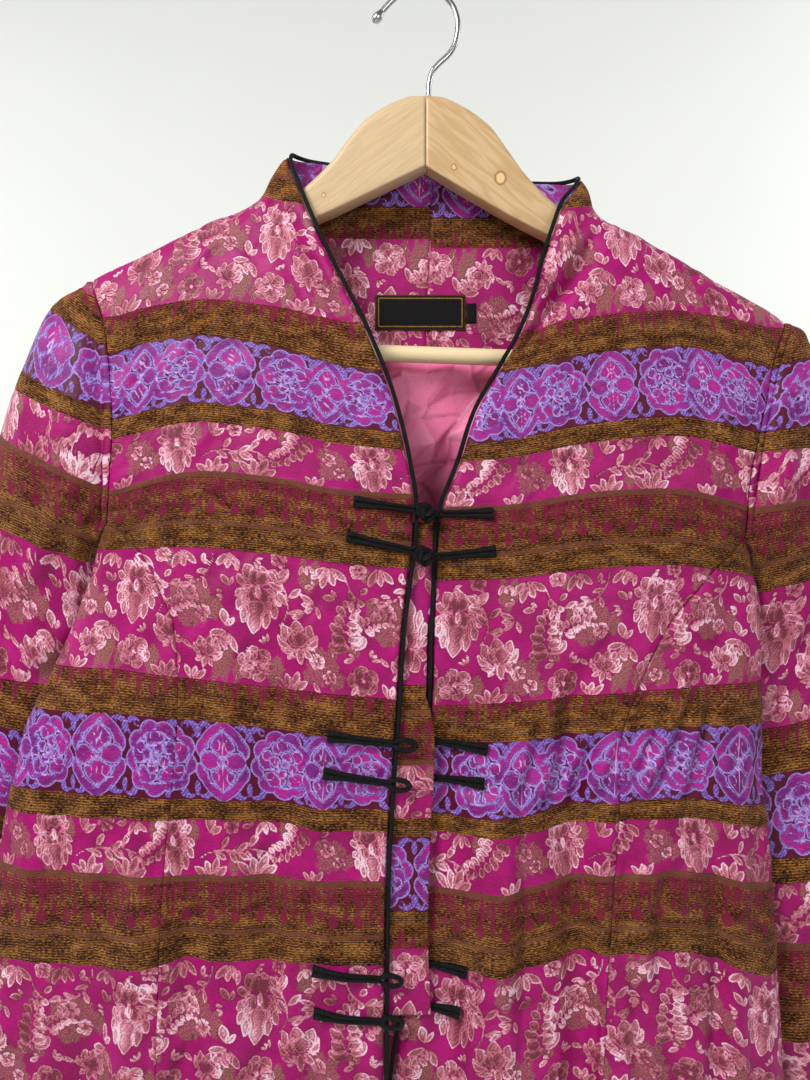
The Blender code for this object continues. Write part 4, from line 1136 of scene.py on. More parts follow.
def outer_cloth(
    side, points, outward, lines, seed, creases, coarse,
    shift=0.0, faced=0.0, tuck=0.0, across=None, guarded=None, free=None,
):
    """Sheets of one cloth piece: its worked outer face, and a plain lining behind it.

    lines are its stripes, shift moves its figures along them, coarse thins the lining's
    rows and columns, faced is how far the brocade turns inside, tuck sinks the lining's
    upper end, across stands in for the distance along a row, no fold sinks where it is
    guarded, and folds rise by the share in free.
    """
    normal, flip = normals_of(points, outward)
    rows = along_rows(points)
    columns = along_columns(points)
    to_outer = rows[:, -1:] - rows
    to_hem = columns[-1:] - columns
    z = points[..., 2]
    across = rows if across is None else across
    u = points[:, :1, 0] / MM + SIGN[side] * across / MM + shift
    v = stripe_place(lines, points[..., 0], z)
    detail = drape(u, v, z, seed) - creases
    detail = detail * smooth_step(np.minimum(rows, to_outer) / (7 * MM) + 0.15)
    detail = detail * smooth_step(columns / (8 * MM) + 0.15)
    detail = detail + pucker(rows, columns, seed + 3) + pucker(to_outer, columns, seed + 4)
    for away, deep in ((rows, 1.5), (to_outer, 1.5), (columns, 0.4), (to_hem, 0.6)):
        detail = detail - seam_dip(away, deep * MM, 1.9 * MM)
    if guarded is not None:
        detail = np.where(guarded, np.maximum(detail, 0.0), detail)
    if free is not None:
        detail = np.where(detail > 0, detail * free, detail)
    place = v % REPEAT_V
    pile = np.zeros(place.shape)
    for low, high in BROWN:
        pile += smooth_step((place - low) / 1.6 + 0.5) * smooth_step((high - place) / 1.6 + 0.5)
    detail = detail + PILE_TALL * pile
    outer = brocade_sheet(turned(raised(points, normal, CLOTH / 2 + detail), normal), flip, u, v)
    keep = np.ix_(*[thinned(count, step) for count, step in zip(z.shape, coarse)])
    sunk = np.minimum(detail, 0.0) - CLOTH / 2 - 0.5 * MM
    sunk = sunk - tuck * smooth_step(1.5 - columns / (30 * MM))
    brocaded = (rows < faced) & (z > FACING_END_Z - 0.12)
    inner = brocade_sheet(
        raised(points, normal, sunk)[keep], not flip, -u[keep], facing_place(side, z[keep]),
        slot=np.where(brocaded[keep][:-1, :-1], 0, 1).ravel(),
    )
    return [outer, inner]


def add_cloth(name, side, points, outward, lines, materials, **options):
    """One side's piece of brocade, with its plain inner layer."""
    sheets = outer_cloth(side, points, outward, lines, **options)
    return add_piece(f"{name}_{side}_cloth", f"{name}_{side}", sheets, materials)


def add_panel(name, side, x, z, materials, **options):
    """One panel of the body, from its points' x and z."""
    form, outward = (back_y, (0, 1, 0)) if name == "back" else (front_y, (0, -1, 0))
    points = np.stack([x, form(side, x, z), z], axis=-1)
    creases = crease_depth(CREASES[name + "_" + side], x / MM, z / MM)
    return add_cloth(
        name, side, points, outward, stripe_lines(side), materials, creases=creases, **options
    )


def thinned(count, step):
    """Every step-th place of a row, and always its last."""
    return np.unique(np.append(np.arange(0, count, step), count - 1))


def spaced(count, ends=(0.0006, 0.0018, 0.0036)):
    """Places from 0 to 1, with a few close to both ends where seams roll in."""
    middle = np.linspace(0, 1, count)[1:-1] * (1 - 2 * ends[-1] * 2) + ends[-1] * 2
    return np.concatenate([[0.0], ends, middle, 1 - np.array(ends[::-1]), [1.0]])


UPPER_ROWS = 205
LOWER_ROWS = 318


def panel_grid(start, inner, outer, top, columns, split, upper=UPPER_ROWS, lower=LOWER_ROWS):
    """x and z of a front or back panel's points; see the part's source for its form."""
    f = np.concatenate([[0.0, 0.002], 0.002 + 0.998 * (np.arange(1, upper) / (upper - 1)) ** 1.2])
    share = np.concatenate([f, np.ones(lower)])
    below = np.arange(1, lower + 1) / lower

    def levels(top_z, split_z):
        return np.concatenate([top_z + (split_z - top_z) * f, split_z + (HEM_Z - split_z) * below])

    near_x, near_z = inner(levels(start[0], split[0]))
    far_x, far_z = outer(levels(start[1], split[1]))
    inner_top = (near_x[0], near_z[0])
    outer_top = (far_x[0], far_z[0])
    u = columns[None, :]
    top_x = inner_top[0] + (outer_top[0] - inner_top[0]) * u
    chord = inner_top[1] + (outer_top[1] - inner_top[1]) * u
    x = near_x[:, None] + (far_x - near_x)[:, None] * u
    z = near_z[:, None] + (far_z - near_z)[:, None] * u
    return x, z + (top(top_x) - chord) * (1 - share[:, None]) ** 2


def clear_of_frogs(side, x, z):
    """0 under the frogs of one front, where no fold may rise, to 1 away from them."""
    away = np.full(np.shape(x), 1.0)
    for i in range(len(FROGS[side + "_x"])):
        start = np.array([FROGS[side + "_x"][i], FROGS[side + "_z"][i]])
        turn = np.array([FROGS["turn_x"][i], FROGS["turn_z"][i]])
        length = np.linalg.norm(turn - start)
        along = (turn - start) / length
        t = np.clip((x - start[0]) * along[0] + (z - start[1]) * along[1], 0.0, length)
        away = np.minimum(away, np.hypot(x - start[0] - t * along[0], z - start[1] - t * along[1]))
    return smooth_step((away - 4 * MM) / (9 * MM))


def add_front(side, materials):
    """Centre front, from the piping to the armhole and the princess seam."""
    sign = SIGN[side]
    armhole_end = PRINCESS[side]["z"][0]
    tip_z = TIP[side][1]
    first_z = tip_z - edge_clear(side, tip_z)
    first_x = beside(EDGE, side, first_z, edge_clear(side, first_z))

    def inner(z):
        return beside(EDGE, side, z, edge_clear(side, z))

    def outer(z):
        arm_x = read(ARMHOLE[side], "x", z) - sign * NEAR_SEAM
        seam_x, seam_z = beside(PRINCESS, side, z, -NEAR_SEAM)
        above = z > armhole_end
        return np.where(above, arm_x, seam_x), np.where(above, z, seam_z)

    def top(x):
        gap = top_line(side, first_x[0]) - first_x[1]
        near = np.maximum(0.0, 1.0 - np.abs(x - first_x[0]) / (20 * MM))
        return top_line(side, x) - gap * near

    x, z = panel_grid(
        (first_z, ARMHOLE[side]["z"][0]), inner, outer, top, spaced(128),
        (armhole_end, armhole_end),
    )
    return add_panel(
        "front", side, x, z, materials, seed=20 if side == "left" else 30, coarse=(4, 3),
        faced=50 * MM, free=clear_of_frogs(side, x, z),
    )


def add_side_front(side, materials):
    """Side front, from the princess seam to the side seam."""
    top_inner = PRINCESS[side]["z"][0]
    top_outer = UNDERARM[side] - SEAM_INSET
    down = np.linspace(0, 1, LOWER_ROWS + 6)
    inner_x, inner_z = beside(
        PRINCESS, side, top_inner + (HEM_Z - top_inner) * down, NEAR_SEAM
    )
    outer_z = top_outer + (HEM_Z - top_outer) * down
    outer_x = read(OUTLINE[side], "x", outer_z)
    share = 1 - (1 - spaced(86)) ** 1.25
    x = inner_x[:, None] + (outer_x - inner_x)[:, None] * share
    z = inner_z[:, None] + (outer_z - inner_z)[:, None] * share
    return add_panel(
        "side_front", side, x, z, materials, seed=40 if side == "left" else 50, coarse=(8, 5),
        shift=43.0 * SIGN[side],
    )


def add_back(side, materials):
    """One half of the back, from the centre seam to the armhole and the side seam."""
    sign = SIGN[side]
    clear = PIPING_R + SEAM
    shoulder = ARMHOLE[side]["z"][0]

    def inner(z):
        return read(CENTRE_BACK, "x", z) + sign * NEAR_SEAM, z

    def outer(z):
        arm_x = read(ARMHOLE[side], "x", z) - sign * NEAR_SEAM
        return np.where(z > UNDERARM[side], arm_x, read(OUTLINE[side], "x", z)), z

    def top(x):
        collar = read(COLLAR_TOP, "z", x, at="x") - clear
        shoulder_line = np.minimum(top_line(side, x), TIP[side][1] - clear)
        return np.where(np.abs(x) < abs(TIP[side][0]), collar, shoulder_line)

    start_z = float(top(inner(COLLAR_TOP["z"][3])[0]))
    columns = 1 - (1 - spaced(112)) ** 1.15
    x, z = panel_grid(
        (start_z, shoulder), inner, outer, top, columns, (UNDERARM[side], UNDERARM[side]),
        upper=110, lower=165,
    )
    return add_panel(
        "back", side, x, z, materials, seed=60 if side == "left" else 70, coarse=(3, 2),
        shift=71.0, faced=110 * MM,
        guarded=(z > LINING_Z[1] - 4 * MM) & (np.abs(x) < 94 * MM),
    )


# ---- sleeves --------------------------------------------------------------------------
# Each crease lies on the sleeve's front or back, in x and z as the body's creases do.
SLEEVE_CREASES = {
    "left": {
        "front": [
            ([(-222, -232), (-232, -300), (-240, -360)], 8, 2.2, 0.5),
            ([(-214, -330), (-236, -372), (-268, -400)], 7, 3.0, 0.6),
            ([(-209, -396), (-232, -428), (-262, -446)], 7, 2.6, 0.6),
            ([(-212, -450), (-236, -470), (-260, -474)], 6, 2.2, 0.6),
            ([(-300, -360), (-276, -392), (-256, -430)], 8, 2.6, 0.5),
            ([(-312, -430), (-286, -452), (-262, -486)], 8, 2.4, 0.5),
            ([(-246, -240), (-262, -300), (-274, -344)], 9, -1.8, 0.3),
            ([(-250, -500), (-262, -580), (-280, -700)], 10, 2.2, 0.4),
            ([(-300, -520), (-308, -620), (-324, -730)], 11, 2.0, 0.4),
        ],
        "back": [
            ([(-216, -250), (-238, -330), (-262, -400)], 10, 2.4, 0.5),
            ([(-222, -380), (-252, -424), (-288, -440)], 8, 2.8, 0.6),
            ([(-214, -440), (-244, -470), (-284, -480)], 8, 2.4, 0.6),
            ([(-256, -520), (-270, -620), (-290, -730)], 12, 2.2, 0.4),
        ],
    },
    "right": {
        "front": [
            ([(232, -250), (236, -310), (238, -370)], 7, 2.2, 0.5),
            ([(214, -352), (232, -388), (250, -404)], 7, 2.8, 0.6),
            ([(206, -416), (228, -440), (252, -450)], 7, 2.6, 0.6),
            ([(198, -466), (222, -486), (250, -490)], 7, 2.2, 0.6),
            ([(270, -350), (258, -400), (236, -440)], 8, 2.4, 0.5),
            ([(250, -260), (256, -310), (258, -352)], 8, -1.8, 0.3),
            ([(214, -520), (220, -620), (226, -740)], 10, 2.2, 0.4),
            ([(258, -530), (262, -640), (264, -740)], 10, 2.0, 0.4),
        ],
        "back": [
            ([(226, -260), (240, -340), (246, -410)], 10, 2.4, 0.5),
            ([(212, -400), (238, -436), (266, -446)], 8, 2.8, 0.6),
            ([(202, -450), (230, -480), (264, -488)], 8, 2.4, 0.6),
            ([(230, -530), (238, -640), (246, -740)], 12, 2.2, 0.4),
        ],
    },
}
FRONT_SIDES = 80
BACK_SIDES = 30


def ring_angles():
    """Angles round a sleeve from its seam at the body, over the front, and back to it."""
    front = np.linspace(math.pi, 0.0, FRONT_SIDES, endpoint=False)
    back = np.linspace(0.0, -math.pi, BACK_SIDES)
    return np.concatenate([front, back])


def armhole_ring(side, clear, angle):
    """A sleeve's first ring, set in along the armhole, a clearance away from it."""
    z_top = ARMHOLE[side]["z"][0]
    z_low = ARMHOLE[side]["z"][-1]
    z = z_top + (z_low - z_top) * (1 - np.cos(angle)) / 2
    x = read(ARMHOLE[side], "x", z)
    # both surfaces stop short of the seam plane, which the ring crosses smoothly
    near = np.clip(np.abs(np.sin(angle)) / 0.16, 0.0, 1.0)
    y = np.where(angle > 0, front_y(side, x, z), back_y(side, x, z)) * near
    low = smooth_step((-np.cos(angle) - 0.3) / 0.6)
    return np.stack([x + SIGN[side] * (clear + UNDERARM_CLEAR * low), y, z], axis=-1)


def section_ring(section, sign, angle):
    """A sleeve's ring at one of its sections, whose inner edge leans to the body."""
    outer = np.array([section["outer_x"], 0.0, section["outer_z"]])
    inner = np.array([section["inner_x"], 0.0, section["inner_z"]])
    middle = (outer + inner) / 2
    half = (outer - inner) / 2
    to_body = np.array([-sign * abs(half[2]), 0.0, abs(half[0])])
    to_body /= np.linalg.norm(to_body)
    sine = np.sin(angle)
    bulge = np.sign(sine) * np.abs(sine) ** 0.85
    ring = middle + np.outer(np.cos(angle), half)
    ring = ring + np.outer(section["lean"] * np.abs(sine), to_body)
    ring[:, 1] = section["mid_y"] - section["half_depth"] * bulge
    return ring


def add_sleeve(side, materials):
    """One sleeve, on a smooth run of rings from its armhole to its cuff."""
    angle = ring_angles()
    rings = [armhole_ring(side, NEAR_SEAM, angle), armhole_ring(side, 2.5 * MM, angle)]
    sections = SLEEVE[side]
    for i in range(len(sections["outer_x"])):
        section = {name: column[i] for name, column in sections.items()}
        rings.append(section_ring(section, SIGN[side], angle))
    rings = np.array(rings)
    length = running(np.linalg.norm(np.diff(rings, axis=0), axis=2).mean(axis=1))
    places = np.concatenate([[0.0, 0.0007, 0.0016], np.linspace(0.003, 1.0, 286)]) * length[-1]
    points = np.zeros((len(places), len(angle), 3))
    for i in range(len(angle)):
        for axis in range(3):
            points[:, i, axis] = smooth_curve(length, rings[:, i, axis], places)
    x = points[..., 0] / MM
    z = points[..., 2] / MM
    front = smooth_step(np.sin(angle)[None, :] / 0.35)
    behind = smooth_step(-np.sin(angle)[None, :] / 0.35)
    level_step = np.hypot(np.diff(points[..., 0], axis=1), np.diff(points[..., 1], axis=1))
    around = np.hstack([np.zeros((len(points), 1)), np.cumsum(level_step, axis=1)])
    creases = crease_depth(SLEEVE_CREASES[side]["front"], x, z) * front
    creases = creases + crease_depth(SLEEVE_CREASES[side]["back"], x, z) * behind
    outward = points - points.mean(axis=1, keepdims=True)
    return add_cloth(
        "sleeve", side, points, outward, SLEEVE_STRIPES[side], materials,
        seed=80 if side == "left" else 90, creases=creases, coarse=(8, 6), shift=15.0,
        across=around, tuck=2.4 * MM,
    )


# ---- inside pieces --------------------------------------------------------------------
def on_back(x, z, lift):
    """Points inside the back at a lift from its middle surface."""
    step = 1.0 * MM
    points = np.zeros(np.shape(x) + (3,))
    for side in ("left", "right"):
        here = (x < MID_X) if side == "left" else (x >= MID_X)
        y = back_y(side, x, z)
        slope_x = (back_y(side, x + step, z) - back_y(side, x - step, z)) / (2 * step)
        slope_z = (back_y(side, x, z + step) - back_y(side, x, z - step)) / (2 * step)
        normal = np.stack([slope_x, -np.ones_like(x), slope_z], axis=-1)
        normal /= np.linalg.norm(normal, axis=-1, keepdims=True)
        found = np.stack([x, y, z], axis=-1) + normal * lift
        points = np.where(here[..., None], found, points)
    return points


def add_facing(side, brocade):
    """One half of the neck facing, whose top follows the collar."""
    sign = SIGN[side]
    middle_top = COLLAR_TOP["z"][3]
    top = middle_top - PIPING_R - 2 * SEAM
    share = np.linspace(1, 0, 96)[:, None]
    level = FACING_END_Z + (top - FACING_END_Z) * share
    start = read(CENTRE_BACK, "x", level) + sign * SEAM
    reach = read(FACING[side], "x", level)
    x = start + (reach - start) * spaced(72)[None, :]
    z = level + (read(COLLAR_TOP, "z", x, at="x") - middle_top) * share
    points = on_back(x, z, FACING_LIFT)
    normal, flip = normals_of(points, (0, -1, 0))
    rows = along_rows(points)
    v = facing_place(side, z)
    u = -(start + sign * rows) / MM + (0 if side == "left" else 31)
    u = np.broadcast_to(u, v.shape)
    detail = 0.35 * MM * ripple(x / MM, z / MM, 22, 101)
    detail = detail + 0.15 * MM * ripple(x / MM, z / MM, 8, 102)
    detail = detail - seam_dip(rows, 1.1 * MM, 1.8 * MM)
    detail = detail - seam_dip(rows[:, -1:] - rows, 0.5 * MM, 2 * MM)
    face = turned(raised(points, normal, THIN_CLOTH / 2 + detail), normal, (0.5 * MM, 1.0 * MM))
    sheets = [brocade_sheet(face, flip, u, v)]
    return add_piece(f"facing_{side}_cloth", "facing_" + side, sheets, (brocade,))


def add_underlap(materials):
    """The narrow strip behind the opening, in a cloth that runs upside down."""
    z = np.linspace(UNDERLAP["z"][0], UNDERLAP["z"][-1], 230)
    left = read(UNDERLAP, "left", z)
    right = read(UNDERLAP, "right", z)
    y = read(UNDERLAP, "y", z)
    share = spaced(40, (0.004, 0.012, 0.024))
    x = left[:, None] + (right - left)[:, None] * share[None, :]
    z_grid = np.broadcast_to(z[:, None], x.shape)
    points = np.stack([x, np.broadcast_to(y[:, None], x.shape), z_grid], axis=-1)
    normal, flip = normals_of(points, (0, -1, 0))
    rows = along_rows(points)
    columns = along_columns(points)
    line = np.array(UNDERLAP_V, dtype=float)
    v = np.interp(z_grid / MM, line[:, 0], line[:, 1])
    detail = 0.25 * MM * ripple(x / MM, z_grid / MM, 24, 111)
    detail = detail + 0.1 * MM * ripple(x / MM, z_grid / MM, 7, 112)
    for away in (rows, rows[:, -1:] - rows, columns[-1:] - columns):
        detail = detail - seam_dip(away, 0.5 * MM, 1.6 * MM)
    face = turned(raised(points, normal, THIN_CLOTH / 2 + detail), normal, (0.4 * MM, 1.0 * MM))
    outer = brocade_sheet(face, flip, -x / MM + 12, v)
    keep = np.append(np.arange(0, len(z), 9), len(z) - 1)
    inner = {
        "points": (points - normal * (THIN_CLOTH / 2))[np.ix_(keep, np.arange(0, x.shape[1], 5))],
        "flip": not flip, "slot": 1,
    }
    return add_piece("underlap_cloth", "underlap", [outer, inner], materials)


def facets(a, b, seed):
    """Heights, in mm, of flat facets on a jittered net, with each facet's tone for painted light
    and shade, and the distance, as a share, from the fold whose painted shadow falls on it."""
    draw = np.random.default_rng(seed)
    size = 15.0
    rows = int((b.max() - b.min()) / size) + 4
    columns = int((a.max() - a.min()) / size) + 4
    j, i = np.meshgrid(np.arange(rows), np.arange(columns), indexing="ij")
    corner_a = a.min() + (i - 1 + draw.uniform(-0.36, 0.36, i.shape)) * size
    corner_b = b.min() + (j - 1 + draw.uniform(-0.36, 0.36, i.shape)) * size
    height = draw.uniform(0.0, 9.5, i.shape)
    total = np.zeros(np.shape(a))
    tone = np.zeros(np.shape(a))
    fold = np.zeros(np.shape(a))
    for j in range(rows - 1):
        for i in range(columns - 1):
            first = ((j, i), (j, i + 1), (j + 1, i + 1))
            second = ((j, i), (j + 1, i + 1), (j + 1, i))
            for corners in (first, second):
                (a0, b0, h0), (a1, b1, h1), (a2, b2, h2) = [
                    (corner_a[c], corner_b[c], height[c]) for c in corners
                ]
                area = (a1 - a0) * (b2 - b0) - (a2 - a0) * (b1 - b0)
                w1 = ((a - a0) * (b2 - b0) - (a2 - a0) * (b - b0)) / area
                w2 = ((a1 - a0) * (b - b0) - (a - a0) * (b1 - b0)) / area
                inside = (w1 >= 0) & (w2 >= 0) & (w1 + w2 <= 1)
                total = np.where(inside, h0 + (h1 - h0) * w1 + (h2 - h0) * w2, total)
                tone = np.where(inside, draw.uniform(0.0, 1.0), tone)
                fold = np.where(inside, w1 if draw.uniform() < 0.5 else w2, fold)
    return total, tone, fold


def softened(grid):
    """The grid with each value averaged with its neighbours."""
    for _ in range(2):
        inner = (grid[:-2] + 2 * grid[1:-1] + grid[2:]) / 4
        grid = np.concatenate([grid[:1], inner, grid[-1:]]).T
    return grid


def add_lining(satin):
    """Crumpled satin below the hanger's bar, at the back of the neck opening."""
    x, z = np.meshgrid(
        np.linspace(LINING_X[0], LINING_X[1], 176), np.linspace(LINING_Z[0], LINING_Z[1], 176)
    )
    points = on_back(x, z, FACING_LIFT)
    normal, flip = normals_of(points, (0, -1, 0))
    a = x / MM
    b = z / MM
    crumple, tone, fold = facets(a + 2 * ripple(a, b, 24, 121), b + 2 * ripple(a, b, 22, 122), 123)
    edge = np.minimum(
        np.minimum(x - LINING_X[0], LINING_X[1] - x), np.minimum(LINING_Z[0] - z, z - LINING_Z[1])
    )
    detail = MM * crumple * smooth_step(edge / (12 * MM))
    sheet = {
        "points": raised(points, normal, THIN_CLOTH / 2 + detail), "flip": flip,
        "cloth": np.stack([a, b, crumple], axis=-1),
        # figure: each facet's tone for painted light and shade, and its share of the way from its fold for
        # painted shadow and highlight
        "figure": np.stack([softened(tone), softened(fold), 0 * a], axis=-1),
    }
    return add_piece("back_lining_satin", "back_lining", [sheet], (satin,))


def add_patch(name, node, box, columns, rows, material):
    """A small sewn-on label, with turned edges and a slight bow."""
    x, z = np.meshgrid(
        np.linspace(box["x"][0], box["x"][1], columns), np.linspace(box["z"][0], box["z"][1], rows)
    )
    points = on_back(x, z, LABEL_LIFT)
    normal, flip = normals_of(points, (0, -1, 0))
    a = (x - box["x"][0]) / MM
    b = (box["z"][0] - z) / MM
    edge = np.minimum(np.minimum(a, a.max() - a), np.minimum(b, b.max() - b))
    detail = 0.25 * MM * ripple(a, b, 14, 131) - 0.3 * MM * np.clip(1 - edge / 1.2, 0, 1)
    face = turned(raised(points, normal, LABEL_CLOTH / 2 + detail), normal, (0.3 * MM, 0.8 * MM))
    place = np.pad(np.stack([a, b, edge], axis=-1), ((2, 2), (2, 2), (0, 0)), mode="edge")
    sheet = {"points": face, "cloth": place, "flip": flip}
    return add_piece(name, node, [sheet], (material,))


# ---- cords ----------------------------------------------------------------------------
def smooth_path(points, count):
    """Evenly spaced points on a smooth curve through the given ones."""
    place = places_along(points)
    fine = np.linspace(0, place[-1], count)
    return np.stack([smooth_curve(place, column, fine) for column in points.T], axis=-1)


def tube(path, radius, sides, closed=False, squash=1.0):
    """Grid of points round a path, with the place along and round it in mm."""
    path = np.array(path)
    radius = np.broadcast_to(radius, (len(path),))
    squash = np.broadcast_to(squash, (len(path),))
    if closed:
        ahead = np.roll(path, -1, axis=0) - np.roll(path, 1, axis=0)
    else:
        ahead = np.gradient(path, axis=0)
    ahead /= np.linalg.norm(ahead, axis=1, keepdims=True)
    guide = np.array([0.0, -1.0, 0.0])
    side = np.cross(ahead[0], guide)
    side /= np.linalg.norm(side)
    frames = []
    for direction in ahead:
        side = side - direction * np.dot(side, direction)
        side /= np.linalg.norm(side)
        frames.append((side, np.cross(side, direction)))
    across = np.array([f[0] for f in frames])
    above = np.array([f[1] for f in frames])
    angle = np.linspace(0, 2 * math.pi, sides, endpoint=False)
    ring = across[:, None, :] * np.cos(angle)[None, :, None] * squash[:, None, None]
    ring = ring + above[:, None, :] * np.sin(angle)[None, :, None]
    points = path[:, None, :] + ring * radius[:, None, None]
    along = places_along(path)[:, None] / MM + 0 * angle[None, :]
    around = (radius[:, None] * angle[None, :]) / MM
    return points, np.stack([along, around, 0 * along], axis=-1)


def capped(points, values):
    """A tube's grid with its two ends drawn in to a point."""
    first = points[:1].mean(axis=1, keepdims=True)
    last = points[-1:].mean(axis=1, keepdims=True)
    lead = points[1:2].mean(axis=1, keepdims=True) - first
    tail = last - points[-2:-1].mean(axis=1, keepdims=True)
    start = [first + 0 * points[:1] - lead * 0.5, first + (points[:1] - first) * 0.75 - lead * 0.35]
    end = [last + (points[-1:] - last) * 0.75 + tail * 0.35, last + 0 * points[-1:] + tail * 0.5]
    grid = np.concatenate(start + [points] + end)
    return grid, np.pad(values, ((2, 2), (0, 0), (0, 0)), mode="edge")


def cord_sheet(path, radius, sides, closed=False, squash=1.0):
    """A cord's sheet, with its ends drawn in, or joined where it is closed."""
    points, values = tube(path, radius, sides, closed, squash)
    if closed:
        points = np.concatenate([points, points[:1]])
        values = np.concatenate([values, values[-1:]])
    else:
        points, values = capped(points, values)
    return {"points": points, "cloth": values, "closed": True}


def edge_path(side, count):
    """Centre of the piping up one front edge."""
    top = TIP[side][1] - edge_clear(side, TIP[side][1])
    z = np.linspace(HEM_Z, top - 0.4 * MM, count)
    clear = edge_clear(side, z)
    x, panel_z = beside(EDGE, side, z, clear)
    near_tip = SIGN[side] * 1.2 * MM * smooth_step((z - top) / (16 * MM) + 1)
    return np.stack([read(EDGE[side], "x", z) + near_tip, front_y(side, x, panel_z), z], axis=-1)


def rounded_path(points, count, passes):
    """Evenly spaced points along a path, with its sharp turns rounded off."""
    place = places_along(points)
    fine = np.linspace(0, place[-1], count)
    path = np.stack([np.interp(fine, place, column) for column in points.T], axis=-1)
    for _ in range(passes):
        path[1:-1] = (path[:-2] + 2 * path[1:-1] + path[2:]) / 4
    return path


def add_piping(trim):
    """The piping, up one front, round the back of the collar and down the other front."""
    angle = np.linspace(0, math.pi, 130)[1:-1]
    left, right = TIP["left"][0], TIP["right"][0]
    x = (left + right) / 2 - (right - left) / 2 * np.cos(angle)
    z = read(COLLAR_TOP, "z", x, at="x")
    z = z - 1.3 * MM * smooth_step(np.minimum(x - left, right - x) / (12 * MM))
    y = np.where(x < MID_X, back_y("left", x, z), back_y("right", x, z))
    collar = np.stack([x, y, z], axis=-1)
    tips = [
        np.array([[TIP[s][0] + SIGN[s] * 0.9 * MM, 0.0, TIP[s][1] + 0.2 * MM]])
        for s in ("left", "right")
    ]
    parts = [edge_path("left", 520), tips[0], collar, tips[1], edge_path("right", 520)[::-1]]
    path = rounded_path(np.concatenate(parts), 1000, 3)
    radius = 1.32 * MM * (1 + 0.05 * ripple(np.arange(len(path)) * 1.3, np.zeros(len(path)), 6, 141))
    return add_piece("edge_piping_cord", "edge_piping", [cord_sheet(path, radius, 12)], (trim,))


def cord_height(side, x, z):
    """y of a frog cord's centre that lies on the front, or passes over its piping."""
    edge_x = read(EDGE[side], "x", z)
    outward = SIGN[side] * (x - edge_x)
    on_cloth = CLOTH / 2 + 3 * SEAM + CORD_R
    on_piping = PIPING_R + SEAM + CORD_R
    rise = on_piping + (on_cloth - on_piping) * smooth_step((outward - 3 * MM) / (5 * MM))
    steady_x = np.where(outward > 0, x, edge_x)
    return front_y(side, steady_x, z) - rise


def frog_half(length, loop):
    """One cord of a half, from its flared end to its loop: along, aside, half width."""
    straight = length - 2 * loop[0]
    path = []
    for share in (0.0, 0.12, 0.5, 1.0):
        half = FLAT_CORD + (FROG_FLARE - FLAT_CORD) * (1 - smooth_step(share))
        path.append((FROG_FLARE_END * share, half, half))
    middle = (FLAT_CORD + CORD_NECK) / 2
    path += [(straight * 0.6, middle, middle), (straight, CORD_NECK, CORD_NECK)]
    wide_half = min(1.55 * MM, loop[1] * 0.62)
    for turn in (0.2, 0.45, 0.7, 0.88):
        angle = math.pi * turn
        aside = loop[1] * math.sin(angle)
        if turn < 0.5:
            aside = max(CORD_NECK, aside)
        path.append((straight + loop[0] * (1 - math.cos(angle)), aside, wide_half))
    return path + [(length, 0.0, wide_half)]


def frog_path(side, start, turn, loop):
    """Path of the doubled cord of one half: out along one cord, round, and back."""
    start = np.array(start)
    axis = np.array(turn) - start
    length = np.linalg.norm(axis)
    along = axis / length
    across = np.array([-along[1], along[0]])
    half = np.array(frog_half(length, loop))
    mirrored = half[:-1][::-1] * (1, -1, 1)
    flat = smooth_path(np.concatenate([half, mirrored]), 122)
    xz = start + flat[:, :1] * along + flat[:, 1:2] * across
    y = cord_height(side, xz[:, 0], xz[:, 1])
    return np.stack([xz[:, 0], y, xz[:, 1]], axis=-1), flat[:, 2]


def knot_path(radius):
    """A cord plaited round a ball: three leads and five bights, over and under."""
    t = np.linspace(0, 2 * math.pi, 240, endpoint=False)
    rise = 0.92 * np.sin(5 * t)
    around = 3 * t
    weave = 1 + 0.17 * np.sin(10 * t + 0.5)
    flat = radius * weave * np.cos(rise)
    return np.stack([flat * np.cos(around), flat * np.sin(around), radius * weave * np.sin(rise)], axis=-1)


def add_knot(name, row, fastened, trim):
    """A plaited ball at the end of a frog's right half."""
    if fastened:
        flat = 0.8
        y = cord_height("right", row["turn_x"], row["turn_z"]) - CORD_R - SEAM - KNOT_R * flat
    else:
        flat = 0.5
        y = front_y("right", read(EDGE["right"], "x", row["knot_z"]), row["knot_z"])
    place = np.array([row["knot_x"], float(y), row["knot_z"]])
    turn = np.array([[0.8, 0.0, 0.6], [0.0, 1.0, 0.0], [-0.6, 0.0, 0.8]])
    path = knot_path(4.2 * MM) @ turn.T
    cord = cord_sheet(path, 1.7 * MM, 9, closed=True)
    core_angle = np.linspace(0.02, math.pi - 0.02, 14)
    core_path = np.stack([0 * core_angle, 0 * core_angle, 4.0 * MM * np.cos(core_angle)], axis=-1)
    core = cord_sheet(core_path, 4.0 * MM * np.sin(core_angle), 16)
    for sheet in (cord, core):
        sheet["points"] = sheet["points"] * (1, flat, 1) + place
    return add_piece(name + "_plait", name, [cord, core], (trim,))


def add_frogs(trim):
    """Every frog's two halves and its knot, from the top."""
    pieces = []
    for i in range(len(FROGS["left_x"])):
        row = {name: column[i] for name, column in FROGS.items()}
        number = str(i + 1)
        for side, loop, end in (("left", FROG_LOOP, "loop"), ("right", FROG_TURN, "turn")):
            start = (row[side + "_x"], row[side + "_z"])
            path, wide = frog_path(side, start, (row[end + "_x"], row[end + "_z"]), loop)
            swell = 1 + 0.07 * ripple(np.arange(len(path)) * 0.8, np.zeros(len(path)), 5, 150 + i)
            name = "frog_" + side + "_" + number
            cord = cord_sheet(path, CORD_THICK * swell, 12, squash=wide / CORD_THICK)
            pieces.append(add_piece(name + "_cord", name, [cord], (trim,)))
        pieces.append(add_knot("knot_" + number, row, i < FASTENED, trim))
    return pieces


# ---- hanger ---------------------------------------------------------------------------
HOOK_RINGS = 210
